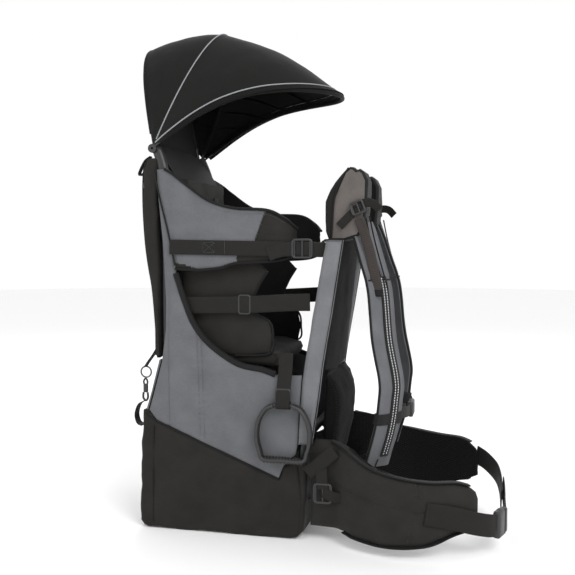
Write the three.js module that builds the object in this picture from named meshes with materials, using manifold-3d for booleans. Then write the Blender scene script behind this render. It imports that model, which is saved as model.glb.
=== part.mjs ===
// A framed backpack that carries a child: an aluminium frame, a fabric cockpit with a seat, a folding
// sun canopy, padded shoulder straps and a hip belt. Millimetres, +Z up. +X is the way the wearer walks,
// +Y is the wearer's left, and the origin is the middle of the base, on the ground.
import * as THREE from "three";
import { LoftGeometry } from "three/addons/geometries/LoftGeometry.js";
import { mergeVertices } from "three/addons/utils/BufferGeometryUtils.js";
import Module from "manifold-3d";

const wasm = await Module();
wasm.setup();

// Driving dimensions.
const baseDepth = 300; // base bag, front to back
const packWidth = 280; // over the outer faces of the side panels
const panelThickness = 6; // padded side fabric
const fit = 0.4; // gap between pieces that are sewn or clipped together
const tubeRadius = 8; // aluminium frame tube
const hoopRadius = 2; // canopy rods
const hoopInset = 19; // canopy hinges inboard of the side panels' outer faces
const hingeX = -130; // canopy hinge line
const hingeZ = 690;
const pinRadius = 2;
const webbingWidth = 26;
const webbingThickness = 2.4;
const strapWidth = 62; // padded shoulder strap
const strapThickness = 13;
const wingThickness = 18; // padded hip wing
const hipWebbing = 38;
const stirrupWidth = 102;
const stirrupDepth = 18;
const buckleWidth = 46;
const buckleThickness = 13;

// Side outlines are drawn for a base of this depth, and carried to the chosen depth by placeX.
const drawnDepth = 300;
function placeX(x) {
  const inBase = Math.abs(x) < drawnDepth / 2;
  return inBase ? (x * baseDepth) / drawnDepth : x + (Math.sign(x) * (baseDepth - drawnDepth)) / 2;
}

const half = packWidth / 2;
const hoopSpan = half - hoopInset;
const panelInner = half - panelThickness;
const bagHalf = half - 2;
const sleeveInner = half - 26;
const interior = sleeveInner - fit - 2; // half width of what sits between the two sides
const uprightY = (half + sleeveInner) / 2;
const stayY = panelInner - 2 - tubeRadius;

const part = new THREE.Group();
const right = new THREE.Group();
const left = new THREE.Group();
left.scale.y = -1;
part.add(right, left);

const grey = { color: 0x707175, roughness: 0.85, metalness: 0 };
const black = { color: 0x1e1d1b, roughness: 0.9, metalness: 0 };
const charcoal = { color: 0x3a3a38, roughness: 0.9, metalness: 0 };
const webbing = { color: 0x332e2b, roughness: 0.8, metalness: 0 };
const plastic = { color: 0x262626, roughness: 0.45, metalness: 0 };
const aluminium = { color: 0xa8aaad, roughness: 0.35, metalness: 1 };
const steel = { color: 0x8b8d90, roughness: 0.3, metalness: 1 };

function add(name, geometry, finish, group = part) {
  const piece = new THREE.Mesh(geometry, new THREE.MeshStandardMaterial(finish));
  piece.name = name;
  group.add(piece);
  return piece;
}

// The same piece on the wearer's right, as drawn at negative Y, and mirrored on the wearer's left.
function addPair(name, geometry, finish) {
  add(name + "_right", geometry, finish, right);
  add(name + "_left", geometry, finish, left);
}

function solid(geometry) {
  const bare = new THREE.BufferGeometry().copy(geometry);
  bare.deleteAttribute("normal");
  bare.deleteAttribute("uv");
  const merged = mergeVertices(bare, 1e-4);
  const corners = merged.index.array;
  const kept = [];
  for (let i = 0; i < corners.length; i += 3) {
    const [a, b, c] = [corners[i], corners[i + 1], corners[i + 2]];
    if (a !== b && b !== c && c !== a) kept.push(a, b, c);
  }
  const triVerts = Uint32Array.from(kept);
  const vertProperties = merged.attributes.position.array;
  return new wasm.Manifold(new wasm.Mesh({ numProp: 3, vertProperties, triVerts }));
}

function geometryOf(manifold) {
  const { vertProperties, triVerts } = manifold.getMesh();
  const geometry = new THREE.BufferGeometry();
  geometry.setAttribute("position", new THREE.BufferAttribute(vertProperties, 3));
  geometry.setIndex(new THREE.BufferAttribute(triVerts, 1));
  return geometry;
}

function joined(first, ...others) {
  return geometryOf(others.reduce((whole, other) => whole.add(solid(other)), solid(first)));
}

function cut(body, ...tools) {
  return geometryOf(tools.reduce((rest, tool) => rest.subtract(solid(tool)), solid(body)));
}

function common(first, second) {
  return geometryOf(solid(first).intersect(solid(second)));
}

const flat = (points) => points.map(([a, b]) => new THREE.Vector2(a, b));

// An outline in X and Z, given thickness across the pack.
function plate(outline, yLow, yHigh) {
  const shape = new THREE.Shape(flat(outline));
  const slab = new THREE.ExtrudeGeometry(shape, { depth: yHigh - yLow, bevelEnabled: false });
  slab.rotateX(Math.PI / 2);
  return slab.translate(0, yHigh, 0);
}

// The same for a side view of the pack.
function sideSlab(outline, yLow, yHigh) {
  const placedOutline = outline.map(([x, z]) => [placeX(x), z]);
  return plate(placedOutline, yLow, yHigh);
}

// A plan view in X and Y, given height.
function planSlab(outline, zLow, zHigh) {
  const shape = new THREE.Shape(flat(outline));
  const slab = new THREE.ExtrudeGeometry(shape, { depth: zHigh - zLow, bevelEnabled: false });
  return slab.translate(0, 0, zLow);
}

// The outline of a strip of even thickness that follows a smooth flat path.
function strip(path, thickness, steps) {
  const curve = new THREE.SplineCurve(flat(path));
  const near = [];
  const far = [];
  for (let i = 0; i <= steps; i++) {
    const at = curve.getPoint(i / steps);
    const along = curve.getTangent(i / steps);
    const side = new THREE.Vector2(-along.y, along.x).multiplyScalar(thickness / 2);
    near.push([at.x + side.x, at.y + side.y]);
    far.unshift([at.x - side.x, at.y - side.y]);
  }
  return near.concat(far);
}

// An upright panel that bends in plan and has a given side view.
function bentPanel(path, thickness, sideView, steps = 12) {
  const heights = sideView.map(([, z]) => z);
  const placedPath = path.map(([x, y]) => [placeX(x), y]);
  const low = Math.min(...heights) - 1;
  const high = Math.max(...heights) + 1;
  const tall = planSlab(strip(placedPath, thickness, steps), low, high);
  return common(tall, sideSlab(sideView, -packWidth, packWidth));
}

function smoothCurve(points) {
  const knots = points.map((point) => new THREE.Vector3(...point));
  return new THREE.CatmullRomCurve3(knots, false, "centripetal");
}

const placed = (points) => points.map(([x, y, z]) => [placeX(x), y, z]);

// A strap whose width stays along `across` while it follows a smooth path.
function strap(points, width, thickness, across, steps) {
  const curve = smoothCurve(placed(points));
  const sections = [];
  for (let i = 0; i <= steps; i++) {
    const at = curve.getPoint(i / steps);
    const along = curve.getTangent(i / steps);
    const wide = new THREE.Vector3(...across);
    wide.addScaledVector(along, -wide.dot(along)).normalize().multiplyScalar(width / 2);
    const thick = new THREE.Vector3().crossVectors(along, wide).normalize().multiplyScalar(thickness / 2);
    const corner = (a, b) => at.clone().addScaledVector(wide, a).addScaledVector(thick, b);
    sections.push([corner(-1, -1), corner(1, -1), corner(1, 1), corner(-1, 1)]);
  }
  return new LoftGeometry(sections, { capStart: true, capEnd: true });
}

function rod(points, radius, steps, sides = 12) {
  const extrudePath = smoothCurve(points);
  const section = new THREE.Shape();
  for (let i = 0; i < sides; i++) {
    const turn = (2 * Math.PI * i) / sides;
    if (i === 0) section.moveTo(radius, 0);
    else section.lineTo(radius * Math.cos(turn), radius * Math.sin(turn));
  }
  return new THREE.ExtrudeGeometry(section, { steps, extrudePath });
}

function tube(points, radius, steps, sides) {
  return rod(placed(points), radius, steps, sides);
}

// A disc or pin whose axis lies across the pack.
function crossPin(x, z, radius, yLow, yHigh, sides = 16) {
  const pin = new THREE.CylinderGeometry(radius, radius, yHigh - yLow, sides);
  return pin.translate(placeX(x), (yLow + yHigh) / 2, z);
}

function block(x, y, z, width, depth, height) {
  return new THREE.BoxGeometry(width, depth, height).translate(placeX(x), y, z);
}

function mirrored(points) {
  const other = points.slice(0, -1).reverse();
  return points.concat(other.map(([x, y, z]) => [x, -y, z]));
}

// ---- Frame tubes ----
const baseRear = -drawnDepth / 2;
const baseFront = drawnDepth / 2;
const footX = baseFront - 12;
const uprightFoot = [baseFront, -uprightY, 166];
const hoopPath = mirrored([
  [baseFront - 1, -uprightY, uprightFoot[2] - fit],
  [footX, -uprightY, 60],
  [footX - 14, -uprightY + 2, 26],
  [0, -uprightY + 4, 24],
  [baseRear + 50, -uprightY + 6, 24],
  [baseRear + 24, -uprightY + 34, 24],
  [baseRear + 22, 0, 24],
]);
const hoopSteps = 36;
add("base_hoop", tube(hoopPath, tubeRadius, hoopSteps), aluminium);

const uprightPath = [
  uprightFoot,
  [158, -uprightY, 240],
  [166, -uprightY, 312],
  [185, -uprightY, 425],
  [202, -uprightY, 519],
];
addPair("frame_upright", tube(uprightPath, tubeRadius, 14), aluminium);

const stayX = -106;
const stayFoot = 210;
const stayTop = 640;
const rearBarZ = 600;
const rearBarRadius = tubeRadius - 2;
const stay = (y) => tube([[stayX, y, stayFoot], [stayX, y, stayTop]], tubeRadius, 1);
const rearBar = tube([[stayX, -stayY, rearBarZ], [stayX, stayY, rearBarZ]], rearBarRadius, 1);
add("rear_frame", joined(stay(-stayY), stay(stayY), rearBar), aluminium);

const barReach = sleeveInner - fit;
add("upper_crossbar", tube([[191, -barReach, 505], [191, barReach, 505]], tubeRadius, 1), aluminium);
add("lower_crossbar", tube([[157, -barReach, 186], [157, barReach, 186]], tubeRadius, 1), aluminium);

// ---- Base storage bag, with a channel for the hoop that stands in it ----
const seam = [[-137, 216], [-122, 198], [105, 106], [114, 128]];
const bagFrontTop = [baseFront + 8, 150];
const bagOutline = [
  [baseRear + 12, 0],
  [baseFront - 12, 0],
  [baseFront, 10],
  [baseFront + 5, 70],
  bagFrontTop,
  ...seam.slice().reverse(),
  [baseRear, 216],
  [baseRear - 2, 110],
  [baseRear, 12],
];
const hoopChannel = tube(hoopPath, tubeRadius + 1, hoopSteps);
add("base_bag", cut(sideSlab(bagOutline, -bagHalf, bagHalf), hoopChannel), black);

// ---- Grey sleeves over the uprights ----
const sleeveRear = [[188, 522], [172, 430], [152, 312], [147, 280], [144, 240], [140, 168]];
const sleeveFront = [[163, 168], [174, 240], [183, 312], [201, 420], [217, 522]];
const sleeveBody = sideSlab(sleeveRear.concat(sleeveFront), -half, -sleeveInner);
const sleeveBore = tube(
  [[149, -uprightY, 150], ...uprightPath, [206, -uprightY, 545]],
  tubeRadius + fit,
  18,
);
addPair("frame_sleeve", cut(sleeveBody, sleeveBore), grey);

// ---- Side panels and cockpit wings ----
const panelGap = 0.6;
const wingRear = -84;
const panelOutline = [
  ...seam.map(([x, z]) => [x, z + panelGap]),
  [136, 150 + panelGap],
  ...sleeveRear.slice(3).reverse().map(([x, z]) => [x - fit * 2, z]),
  [100, 290],
  [76, 298],
  [31, 307],
  [-19, 339],
  [-49, 374],
  [-68, 418],
  [wingRear - fit, 468],
  [wingRear - fit, 642],
  [-100, 653],
  [-119, 650],
  [-116, 597],
  [-109, 525],
  [-103, 418],
  [-104, 364],
  [-112, 305],
  [-130, 240],
];
addPair("side_panel", sideSlab(panelOutline, -half, -panelInner), grey);

const panelMiddle = -(half - panelThickness / 2);
const wingPath = [
  [wingRear, panelMiddle],
  [-20, panelMiddle],
  [45, panelMiddle],
  [95, -(half - 9)],
  [121, -(half - 20)],
  [133, -(half - 34)],
];
const wingOutline = [
  [wingRear, 640],
  [-64, 624],
  [-22, 595],
  [24, 581],
  [84, 577],
  [115, 562],
  [134, 545],
  [136, 500],
  [100, 489],
  [29, 484],
  [0, 476],
  [-41, 472],
  [wingRear, 474],
];
addPair("cockpit_wing", bentPanel(wingPath, panelThickness - 1, wingOutline), grey);

// ---- Straps that close the cockpit, each through its own buckle ----
const outside = -(half + 2);
const upperPath = [
  [-93, outside],
  [-20, outside],
  [45, outside],
  [98, outside + 4],
  [126, outside + 11],
  [184, -uprightY],
];
const upperOutline = [[-94, 527], [186, 521], [182, 495], [-94, 502]];
const upperStrap = bentPanel(upperPath, webbingThickness, upperOutline, 16);
addPair("upper_strap", upperStrap, webbing);
const slotGap = 0.5;
const upperSlot = bentPanel(
  upperPath,
  webbingThickness + 2 * slotGap,
  [[-94, 528], [190, 522], [190, 494], [-94, 501]],
  16,
);
addPair("upper_ladder_lock", cut(block(146, outside + 12.7, 510, 40, 12, 36), upperSlot), plastic);

const lowerY = panelInner - 4;
const lowerOutline = [
  [-75, 421],
  [29, 424],
  [62, 428],
  [125, 438],
  [166, 438],
  [160, 396],
  [125, 395],
  [29, 398],
  [-75, 395],
];
addPair("lower_strap", sideSlab(lowerOutline, -lowerY - webbingThickness, -lowerY), webbing);
const triGlide = block(42, -lowerY - webbingThickness / 2, 411.5, 26, 8, 38);
const glideSlot = block(42, -lowerY - webbingThickness / 2, 411.5, 60, webbingThickness + 2 * slotGap, 32);
addPair("tri_glide", cut(triGlide, glideSlot), plastic);

// ---- Child's seat inside the cockpit ----
const seatBack = [[-97, 338], [-79, 338], [-72, 640], [-90, 640]];
add("child_backrest", sideSlab(seatBack, -interior, interior), black);
const seatCushion = [[-98, 306], [92, 300], [97, 318], [60, 330], [-40, 334], [-98, 337]];
const seatSide = [
  [-78, 312],
  [60, 312],
  [88, 352],
  [84, 380],
  [50, 402],
  [62, 440],
  [76, 468],
  [36, 470],
  [-70, 466],
];
const seatWall = (side) => sideSlab(seatSide, side * (interior + 3) - 2, side * (interior + 3) + 2);
const seatBase = sideSlab(seatCushion, -interior - 3, interior + 3);
add("child_seat", joined(seatBase, seatWall(-1), seatWall(1)), charcoal);
const harnessPath = (side) => [
  [-68, side * 44, 610],
  [-71, side * 44, 480],
  [-70, side * 36, 400],
  [-56, side * 16, 362],
];
const harnessStrap = (side) => strap(harnessPath(side), webbingWidth, webbingThickness, [0, 1, 0], 8);
const harnessBuckle = block(-50, 0, 358, 16, 42, 34);
add("child_harness", joined(harnessBuckle, harnessStrap(-1), harnessStrap(1)), webbing);

// ---- Rear day pack ----
const dayPack = [
  [-118, 312],
  [-118, 672],
  [-136, 672],
  [-146, 651],
  [-148, 597],
  [-145, 534],
  [-140, 489],
  [-131, 435],
  [-125, 363],
  [-122, 312],
];
const dayPackShift = -3;
const dayPackOutline = dayPack.map(([x, z]) => [x + dayPackShift, z]);
add("day_pack", sideSlab(dayPackOutline, -stayY - tubeRadius, stayY + tubeRadius), black);

// ---- Fabric wall below the day pack ----
const rearWall = [[-146, 217], [-139, 217], [-119.5, 311], [-126, 311]];
add("rear_panel", sideSlab(rearWall, -panelInner + fit, panelInner - fit), grey);

// ---- Wearer's back panel and lumbar pad ----
const backPanel = [
  [187, 296],
  [193, 296],
  [198, 330],
  [206, 400],
  [215, 480],
  [221, 527],
  [204, 527],
  [201, 480],
  [190, 400],
  [184, 330],
];
add("back_panel", sideSlab(backPanel, -interior, interior), black);
const lumbar = [
  [178, 126],
  [199, 128],
  [208, 170],
  [214, 215],
  [212, 250],
  [204, 272],
  [192, 286],
  [184, 286],
  [180, 250],
  [175, 200],
];
const lumbarHalf = 97;
add("lumbar_pad", sideSlab(lumbar, -lumbarHalf, lumbarHalf), black);

// ---- Shoulder straps ----
const yokeOuter = -112;
const yokeInner = -50;
const yoke = [
  [184, 551],
  [183, 592],
  [199, 626],
  [218, 645],
  [233, 653],
  [248, 645],
  [256, 625],
  [256, 593],
  [251, 551],
  [216, 532],
  [192, 532],
];
addPair("shoulder_yoke", sideSlab(yoke, yokeOuter, yokeInner), black);
const strapPath = [
  [250, -84, 534],
  [262, -94, 490],
  [277, -104, 439],
  [286, -111, 353],
  [299, -115, 285],
  [298, -115, 250],
  [291, -112, 200],
  [273, -108, 134],
];
const strapAcross = [0.57, 0.82, 0];
addPair("shoulder_strap", strap(strapPath, strapWidth, strapThickness, strapAcross, 18), grey);
addPair("load_lifter_lock", block(242, yokeOuter - 5, 580, 26, 9, 25), plastic);

// ---- Sternum strap ----
const sternumZ = 222;
const sternumReach = [[313, -74, sternumZ], [321, -50, sternumZ - 4], [324, -23, sternumZ - 6]];
addPair("sternum_strap", strap(sternumReach, 22, webbingThickness, [0, 0, 1], 8), webbing);
add("sternum_buckle", block(324.5, 0, sternumZ - 6, 11, 2 * 21.4, 30), plastic);

// ---- Stirrups: each hangs from a strap that is looped round the bar at its top ----
const stirrupX = 117;
const stirrupY = outside - 9;
const keeperZ = 257;
const keeperWidth = 29;
const stirrupBarZ = keeperZ - 18;
const stirrupBarRadius = 4;
const loopBore = stirrupBarRadius + fit;
const loopRadius = loopBore + webbingThickness;
function sideRod(radius, length) {
  const bar = new THREE.CylinderGeometry(radius, radius, length, 16).rotateZ(Math.PI / 2);
  return bar.translate(placeX(stirrupX), stirrupY, stirrupBarZ);
}
const hangerPath = [
  [121, outside - 2, 326],
  [120, outside - 5, 300],
  [stirrupX, stirrupY, keeperZ + 13],
];
const keeper = block(stirrupX, stirrupY, keeperZ, keeperWidth, 9, 24);
const hanger = strap(hangerPath, webbingWidth, webbingThickness, [1, 0, 0], 5);
const hangerLoop = joined(hanger, keeper, sideRod(loopRadius, webbingWidth));
addPair("stirrup_hanger", cut(hangerLoop, sideRod(loopBore, webbingWidth * 2)), webbing);
const stirrupShoulder = 20;
const barGap = keeperWidth + 1; // between the shoulders that carry the bar
const outerRing = [
  [-stirrupShoulder, -13],
  [stirrupShoulder, -13],
  [33, -22],
  [45, -39],
  [stirrupWidth / 2, -60],
  [stirrupWidth / 2, -80],
  [46, -100],
  [38, -118],
  [-38, -118],
  [-46, -100],
  [-stirrupWidth / 2, -80],
  [-stirrupWidth / 2, -60],
  [-45, -39],
  [-33, -22],
];
const innerRing = [
  [-14, -24],
  [14, -24],
  [28, -30],
  [38, -45],
  [43, -62],
  [43, -79],
  [38, -97],
  [32, -109],
  [-32, -109],
  [-38, -97],
  [-43, -79],
  [-43, -62],
  [-38, -45],
  [-28, -30],
];
const footRing = plate(outerRing, -stirrupDepth / 2, stirrupDepth / 2);
const footHole = plate(innerRing, -stirrupDepth, stirrupDepth);
const barOpening = new THREE.BoxGeometry(barGap, 2 * stirrupDepth, 24).translate(0, 0, -20);
const openRing = cut(footRing, footHole, barOpening).translate(placeX(stirrupX), stirrupY, keeperZ);
addPair("stirrup", joined(openRing, sideRod(stirrupBarRadius, 2 * stirrupShoulder - 1)), plastic);

// ---- Hip belt ----
const wingRoot = [188, -(lumbarHalf + 8)];
const hipPath = [
  wingRoot,
  [208, -(half - 8)],
  [250, -(half + 28)],
  [310, -(half + 44)],
  [372, -(half + 36)],
  [438, -(half + 10)],
];
const hipOutline = [
  [170, 182],
  [200, 178],
  [231, 168],
  [273, 146],
  [322, 135],
  [370, 129],
  [418, 127],
  [450, 108],
  [450, 52],
  [406, 40],
  [363, 23],
  [290, 18],
  [223, 27],
  [170, 41],
];
addPair("hip_wing", bentPanel(hipPath, wingThickness, hipOutline, 16), charcoal);

const bandPath = [
  [366, -(half + 50)],
  [405, -(half + 38.5)],
  [440, -(half + 23)],
  [464, -(half + 8)],
  [474.2, -(half - 5.2)],
];
const bandOutline = [[368, 96], [480, 62], [480, 24], [368, 60]];
add("hip_band_right", bentPanel(bandPath, webbingThickness, bandOutline, 12), webbing, right);

const buckle = { x: 475, y: -(half - 7), z: 50, turn: (70 * Math.PI) / 180 };
function placeBuckle(piece) {
  piece.position.set(placeX(buckle.x), buckle.y, buckle.z);
  piece.rotation.z = buckle.turn;
}
const socketLength = 34;
function buckleBlock(middle, z, length, depth, height) {
  return new THREE.BoxGeometry(length, depth, height).translate(middle, 0, z);
}
const shell = buckleBlock(socketLength / 2, 0, socketLength, buckleThickness, buckleWidth);
const pocket = buckleBlock(socketLength / 2 + 4, 0, socketLength, buckleThickness - 5, buckleWidth - 8);
const socket = cut(shell, pocket);
placeBuckle(add("hip_buckle_socket", socket, plastic, right));
const prongDepth = 22;
const tailLength = 12;
const tailMiddle = socketLength + fit + tailLength / 2;
const tail = buckleBlock(tailMiddle, 0, tailLength, buckleThickness - 1, buckleWidth - 4);
const prongMiddle = socketLength + 1 - prongDepth / 2;
const prong = (z) => buckleBlock(prongMiddle, z, prongDepth, buckleThickness - 8, 8);
placeBuckle(add("hip_buckle_plug", joined(tail, prong(-13), prong(0), prong(13)), plastic, right));

const beltAcross = [0.05, 0, 1];
const farStrap = [
  [443, half + 9, 98],
  [462, half - 16, 92],
  [480, 82, 83],
  [486.5, 40, 74],
  [487.5, 0, 67],
  [487, -30, 63],
];
add("hip_webbing_left", strap(farStrap, hipWebbing, webbingThickness, beltAcross, 14), webbing);
const nearStrap = [
  [491, 30, 72],
  [492, 0, 67],
  [492, -30, 62],
  [491.5, -(half - 80), 57],
  [491.7, -(half - 56), 51],
];
add("hip_webbing_end", strap(nearStrap, hipWebbing, webbingThickness, beltAcross, 10), webbing);

const stabiliserY = outside - 10.5;
const tapeOutline = [[160, 128], [198, 158], [212, 156], [196, 100], [180, 100]];
const stabiliserTape = sideSlab(tapeOutline, stabiliserY - 2, stabiliserY + 1);
const stabiliserBlock = block(187, stabiliserY, 90, 34, 9, 36);
addPair("stabiliser_lock", joined(stabiliserBlock, stabiliserTape), plastic);

// ---- Rear ring and hook that hold the day pack down ----
const ringX = -149;
const ringY = -122;
const ringZ = 284;
const ring = new THREE.TorusGeometry(10, 1.6, 8, 20).rotateX(Math.PI / 2);
add("rear_ring", ring.translate(placeX(ringX), ringY, ringZ), steel);
add("rear_hook", block(ringX - 1, ringY, ringZ - 36, 11, 6, 38), plastic);

// ---- Canopy: three hoops on one hinge line, and fabric between them ----
const eyeRadius = 8;
const eyeThickness = 3.4;
const eyePitch = 4.6;
const postY = hoopSpan - 9;
const postRun = [
  [stayX, -stayY, stayTop + fit],
  [stayX, -stayY, stayTop + 12],
  [stayX - 1, -stayY + 3, stayTop + 30],
  [stayX - 10, -postY, hingeZ - 6],
  [hingeX, -postY, hingeZ],
];
const postEye = crossPin(hingeX, hingeZ, eyeRadius + 1, -(postY + 6.6), -(postY - 6));
const pinHead = crossPin(hingeX, hingeZ, 5, -(hoopSpan + 14), -(hoopSpan + 11.5));
const pinShaft = crossPin(hingeX, hingeZ, pinRadius, -(hoopSpan + 12), -postY);
addPair("canopy_post", joined(tube(postRun, 6, 10), postEye, pinShaft, pinHead), plastic);

// A hoop point: `turn` runs from 0 at the right hinge to 1 at the left hinge.
function hoopPoint(hoop, turn) {
  const swing = Math.PI * turn;
  const power = 2 / hoop.squareness;
  const reach = hoop.reach * Math.abs(Math.sin(swing)) ** power;
  const across = -Math.sign(Math.cos(swing)) * hoop.span * Math.abs(Math.cos(swing)) ** power;
  const lift = hoop.brow * Math.sin((Math.PI * reach) / hoop.reach) * (hoop.brow > 0 ? 1 : 0);
  const x = placeX(hingeX) + reach * Math.cos(hoop.tilt) - lift * Math.sin(hoop.tilt);
  const z = hingeZ + reach * Math.sin(hoop.tilt) + lift * Math.cos(hoop.tilt);
  return new THREE.Vector3(x, across, z);
}
const degrees = Math.PI / 180;
const layerSpan = (layer) => hoopSpan + layer * eyePitch;
const rearHoop = { reach: 200, tilt: 100 * degrees, span: layerSpan(0), squareness: 2.8, brow: 0 };
const middleHoop = { reach: 244, tilt: 66 * degrees, span: layerSpan(1), squareness: 2.1, brow: 0 };
const frontHoop = { reach: 338, tilt: 17.3 * degrees, span: layerSpan(2), squareness: 2.3, brow: 36 };

function hoopRod(hoop) {
  const count = 24;
  const points = [];
  for (let i = 0; i <= count; i++) points.push(hoopPoint(hoop, i / count).toArray());
  const eyes = [-1, 1].map((side) => {
    const middle = side * hoop.span;
    return crossPin(hingeX, hingeZ, eyeRadius, middle - eyeThickness / 2, middle + eyeThickness / 2);
  });
  const hole = crossPin(hingeX, hingeZ, pinRadius + 0.15, -hoopSpan * 2, hoopSpan * 2);
  return cut(joined(rod(points, hoopRadius, 48, 8), ...eyes), hole);
}
add("canopy_rear_hoop", hoopRod(rearHoop), plastic);
add("canopy_middle_hoop", hoopRod(middleHoop), plastic);
add("canopy_front_hoop", hoopRod(frontHoop), plastic);

// Fabric stretched between two hoops: a thin shell that stops just short of each rod.
function gore(rear, front, bulge) {
  const sections = [];
  const count = 18;
  const first = 0.07;
  const edge = hoopRadius + 1.2;
  const thickness = 1.6;
  const centre = new THREE.Vector3(placeX(hingeX), 0, hingeZ);
  for (let i = 0; i <= count; i++) {
    const turn = first + ((1 - 2 * first) * i) / count;
    const a = hoopPoint(rear, turn);
    const b = hoopPoint(front, turn);
    const chord = b.clone().sub(a);
    const length = chord.length();
    chord.normalize();
    const middle = a.clone().add(b).multiplyScalar(0.5);
    const out = middle.clone().sub(centre);
    out.addScaledVector(chord, -out.dot(chord)).normalize();
    const margin = (hoop) => {
      const run = hoopPoint(hoop, turn + 0.01).sub(hoopPoint(hoop, turn - 0.01)).normalize();
      return edge / Math.max(run.cross(chord).length(), 0.2);
    };
    const start = margin(rear);
    const end = length - margin(front);
    const outer = [];
    const inner = [];
    for (let j = 0; j <= 4; j++) {
      const along = start + ((end - start) * j) / 4;
      const crown = bulge * length * Math.sin((Math.PI * j) / 4);
      const at = a.clone().addScaledVector(chord, along).addScaledVector(out, crown);
      outer.push(at.clone().addScaledVector(out, thickness / 2));
      inner.unshift(at.clone().addScaledVector(out, -thickness / 2));
    }
    sections.push(outer.concat(inner));
  }
  return new LoftGeometry(sections, { capStart: true, capEnd: true });
}
add("canopy_rear_gore", gore(rearHoop, middleHoop, 0.1), black);
add("canopy_front_gore", gore(middleHoop, frontHoop, 0.1), black);

const curtainTop = hoopPoint(rearHoop, 0.5).z - hoopRadius - 1.5;
const curtainBottom = 676;
const curtainHalf = Math.min(interior, postY + 5.6) - 10;
function curtain() {
  const sections = [];
  const count = 8;
  for (let i = 0; i <= count; i++) {
    const z = curtainBottom + ((curtainTop - curtainBottom) * i) / count;
    const reach = Math.max(z - hingeZ, 0) / Math.sin(rearHoop.tilt);
    const share = Math.min(reach / rearHoop.reach, 1) ** rearHoop.squareness;
    const open = rearHoop.span * (1 - share) ** (1 / rearHoop.squareness) - 13;
    const y = z < hingeZ + 20 ? curtainHalf : Math.max(open, 20);
    const x = placeX(hingeX) - 1 + reach * Math.cos(rearHoop.tilt);
    const corner = (dx, side) => new THREE.Vector3(x + dx, side * y, z);
    sections.push([corner(-0.8, -1), corner(0.8, -1), corner(0.8, 1), corner(-0.8, 1)]);
  }
  return new LoftGeometry(sections, { capStart: true, capEnd: true });
}
add("canopy_curtain", curtain(), black);

export default part;
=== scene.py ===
"""Looks of a framed baby carrier backpack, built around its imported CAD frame. Lengths below are in
millimetres in the CAD frame (+X the way the wearer walks, +Y the wearer's left, +Z up), and become
metres where a mesh is made."""
import math

import bmesh
import bpy
import numpy as np
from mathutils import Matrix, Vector
from mathutils.geometry import delaunay_2d_cdt


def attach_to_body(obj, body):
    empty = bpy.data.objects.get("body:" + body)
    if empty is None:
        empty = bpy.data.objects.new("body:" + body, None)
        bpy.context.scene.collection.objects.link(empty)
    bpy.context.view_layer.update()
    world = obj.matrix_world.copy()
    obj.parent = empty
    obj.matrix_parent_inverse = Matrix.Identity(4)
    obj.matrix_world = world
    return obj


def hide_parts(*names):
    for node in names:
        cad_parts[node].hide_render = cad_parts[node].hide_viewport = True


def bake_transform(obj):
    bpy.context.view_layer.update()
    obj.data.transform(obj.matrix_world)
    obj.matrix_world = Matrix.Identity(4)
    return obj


MM = 0.001
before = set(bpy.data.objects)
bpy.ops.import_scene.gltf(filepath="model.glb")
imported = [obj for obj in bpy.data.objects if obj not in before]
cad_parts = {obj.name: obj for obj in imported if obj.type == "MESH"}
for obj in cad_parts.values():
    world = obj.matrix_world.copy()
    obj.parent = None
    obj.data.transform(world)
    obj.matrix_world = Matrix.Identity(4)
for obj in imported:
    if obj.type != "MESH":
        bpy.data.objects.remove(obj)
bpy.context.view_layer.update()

# ---------------------------------------------------------------- camera, light and floor

CAMERA_TURN = math.radians(13.4)
CAMERA_RISE = math.radians(2.8)
CAMERA_DISTANCE = 1.538
CAMERA_TARGET = Vector((0.0888, 0.0, 0.4358))


def add_camera():
    camera = bpy.data.objects.new("camera", bpy.data.cameras.new("camera"))
    bpy.context.scene.collection.objects.link(camera)
    level = math.cos(CAMERA_RISE)
    back = Vector((math.sin(CAMERA_TURN) * level, -math.cos(CAMERA_TURN) * level, math.sin(CAMERA_RISE)))
    camera.location = CAMERA_TARGET + back * CAMERA_DISTANCE
    camera.rotation_euler = back.to_track_quat("Z", "Y").to_euler()
    camera.data.sensor_width = 36.0
    camera.data.lens = 50.5
    bpy.context.scene.camera = camera
    bpy.context.scene.view_settings.view_transform = "Standard"


def area_light(name, place, target, size, power):
    light = bpy.data.lights.new(name, "AREA")
    light.shape = "DISK"
    light.size = size
    light.energy = power
    holder = bpy.data.objects.new(name, light)
    bpy.context.scene.collection.objects.link(holder)
    holder.location = place
    holder.rotation_euler = (Vector(place) - Vector(target)).to_track_quat("Z", "Y").to_euler()


def add_studio():
    world = bpy.data.worlds.new("studio")
    bpy.context.scene.world = world
    world.use_nodes = True
    world.node_tree.nodes["Background"].inputs["Color"].default_value = (1, 1, 1, 1)
    world.node_tree.nodes["Background"].inputs["Strength"].default_value = 1.0
    area_light("key", (1.7, -2.0, 2.2), (0.05, 0, 0.45), 1.4, 44)
    area_light("fill", (-1.9, -1.9, 1.3), (0.1, 0, 0.4), 1.8, 10)
    area_light("back", (-0.4, 2.2, 2.1), (0.05, 0, 0.5), 1.6, 16)
    bpy.ops.mesh.primitive_circle_add(vertices=64, radius=9, fill_type="NGON", location=(0, 0, -0.0006))
    floor = bpy.context.object
    floor.name = "floor"
    paint = bpy.data.materials.new("floor_paint")
    paint.use_nodes = True
    shader = paint.node_tree.nodes["Principled BSDF"]
    shader.inputs["Base Color"].default_value = (0.93, 0.93, 0.93, 1)
    shader.inputs["Roughness"].default_value = 0.8
    floor.data.materials.append(paint)


add_camera()
add_studio()


# ---------------------------------------------------------------- materials

def linear(red, green, blue):
    """A colour on the 0 to 255 scale, in the linear units that shaders use."""
    return tuple(
        ((c / 255 + 0.055) / 1.055) ** 2.4 if c > 10 else c / 255 / 12.92
        for c in (red, green, blue)
    )


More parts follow.
